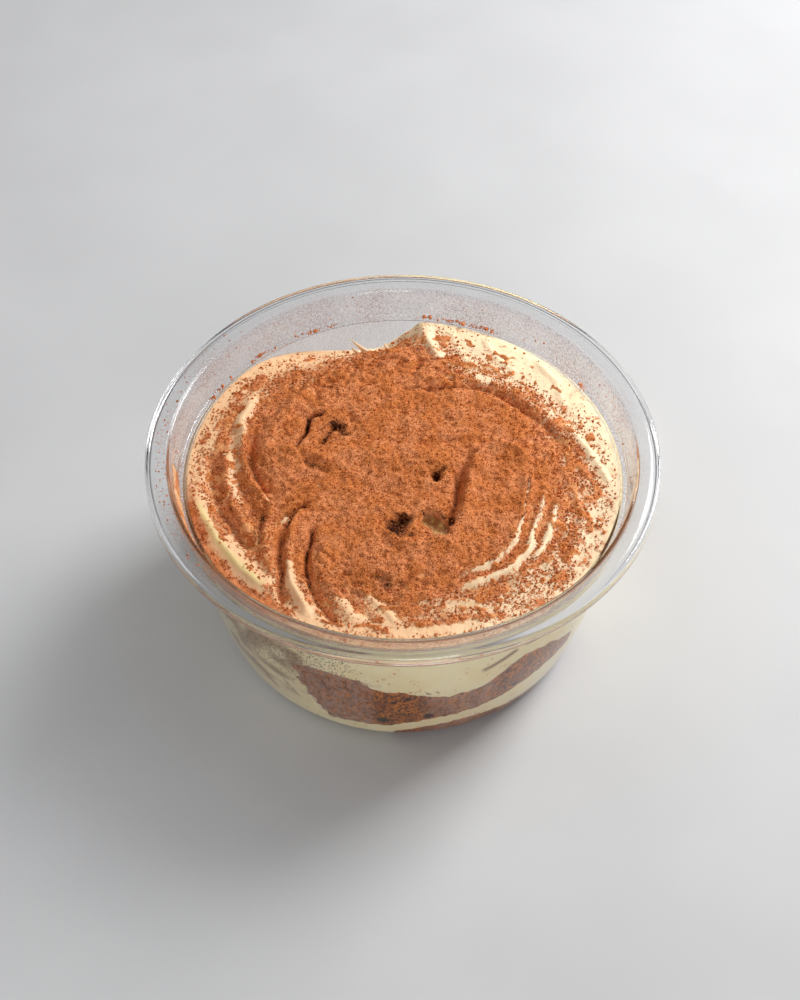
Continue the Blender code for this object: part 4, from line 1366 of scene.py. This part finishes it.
def build_peaks(look):
    """Small pointed peaks of cream that lean on the wall at the back left."""
    bodies = []
    faces = []
    total = 0
    for line, width, rise in PEAKS:
        line = smooth_line(line, 14)
        foot = float(cream_top(line[:1, 0], line[:1, 1])[0]) - 0.7
        turn = angles(12)
        rings = []
        for k, (x, y) in enumerate(line):
            share = k / (len(line) - 1)
            radius = width * (1.0 - share) ** 0.8 + 0.03
            z = foot + rise * share ** 1.4
            rings.append(np.stack([x + radius * np.cos(turn) * 0.7, y + radius * np.cos(turn + 0.6) * 0.4,
                                   z + radius * np.sin(turn)], 1))
        ends = [rings[0].mean(0, keepdims=True), rings[-1].mean(0, keepdims=True)]
        points, triangles = join_rings([ends[0], *rings, ends[1]])
        bodies.append(points)
        faces += (np.array(triangles) + total).tolist()
        total += len(points)
    marks = {"dust": np.full(total, 0.12), "pale_and_lit": np.full(total, 0.7)}
    piece("cream_peaks", np.vstack(bodies), faces, look, marks)


FLOOR_SIZE = 1800.0
SKY_COLOUR = (0.96, 0.98, 1.0, 1.0)
SKY_STRENGTH = 0.22
# Name, place in metres, power in watts and width in metres
LIGHTS = (
    ("key", (0.44, 0.36, 0.50), 5.8, 0.30),
    ("fill", (-0.45, 0.1, 0.5), 0.6, 0.4),
    ("low_front", (0.14, -0.95, 0.38), 2.4, 0.40),
)


def build_floor():
    half = FLOOR_SIZE * MM / 2.0
    mesh = bpy.data.meshes.new("floor")
    corners = [(-half, -half, 0.0), (half, -half, 0.0), (half, half, 0.0), (-half, half, 0.0)]
    mesh.from_pydata(corners, [], [(0, 1, 2, 3)])
    mesh.materials.append(floor_look())
    floor = bpy.data.objects.new("floor", mesh)
    bpy.context.scene.collection.objects.link(floor)


def add_light(name, place, power, size):
    """A soft square light aimed at the middle of the dessert."""
    light = bpy.data.lights.new(name, "AREA")
    light.energy = power
    light.size = size
    lamp = bpy.data.objects.new(name, light)
    lamp.location = place
    aim = Vector((0.0, 0.0, LEDGE_HEIGHT * MM)) - lamp.location
    lamp.rotation_mode = "QUATERNION"
    lamp.rotation_quaternion = aim.to_track_quat("-Z", "Y")
    bpy.context.scene.collection.objects.link(lamp)


def light_scene():
    world = bpy.data.worlds.new("studio")
    bpy.context.scene.world = world
    world.use_nodes = True
    background = world.node_tree.nodes["Background"]
    background.inputs["Color"].default_value = SKY_COLOUR
    background.inputs["Strength"].default_value = SKY_STRENGTH
    for light in LIGHTS:
        add_light(*light)
    bpy.context.scene.view_settings.view_transform = "Standard"


# Camera, fitted to the rim, the ledge and the wall's outline. Its tilt is downwards.
CAMERA_PLACE = (-0.62, -219.94, 294.93)
CAMERA_TILT = math.radians(49.95)
CAMERA_ROLL = 0.00625
CAMERA_LENS = 51.64


def place_camera():
    forward = Vector((0.0, math.cos(CAMERA_TILT), -math.sin(CAMERA_TILT)))
    level = Vector((1.0, 0.0, 0.0))
    upright = level.cross(forward)
    right = level * math.cos(CAMERA_ROLL) + upright * math.sin(CAMERA_ROLL)
    up = upright * math.cos(CAMERA_ROLL) - level * math.sin(CAMERA_ROLL)
    data = bpy.data.cameras.new("camera")
    data.lens = CAMERA_LENS
    data.clip_start = 0.01
    camera = bpy.data.objects.new("camera", data)
    turn = Matrix((right, up, -forward)).transposed().to_4x4()
    camera.matrix_world = Matrix.Translation(Vector(CAMERA_PLACE) * MM) @ turn
    bpy.context.scene.collection.objects.link(camera)
    bpy.context.scene.camera = camera


def main():
    cream = cream_look()
    cocoa = cocoa_look()
    build_tub(plastic_look())
    build_creams(cream)
    build_sponges(sponge_look())
    build_cocoa(cocoa)
    build_top_grains(cocoa)
    build_tub_grains(cocoa)
    build_smear(cream)
    build_peaks(cream)
    build_floor()
    light_scene()
    place_camera()


main()
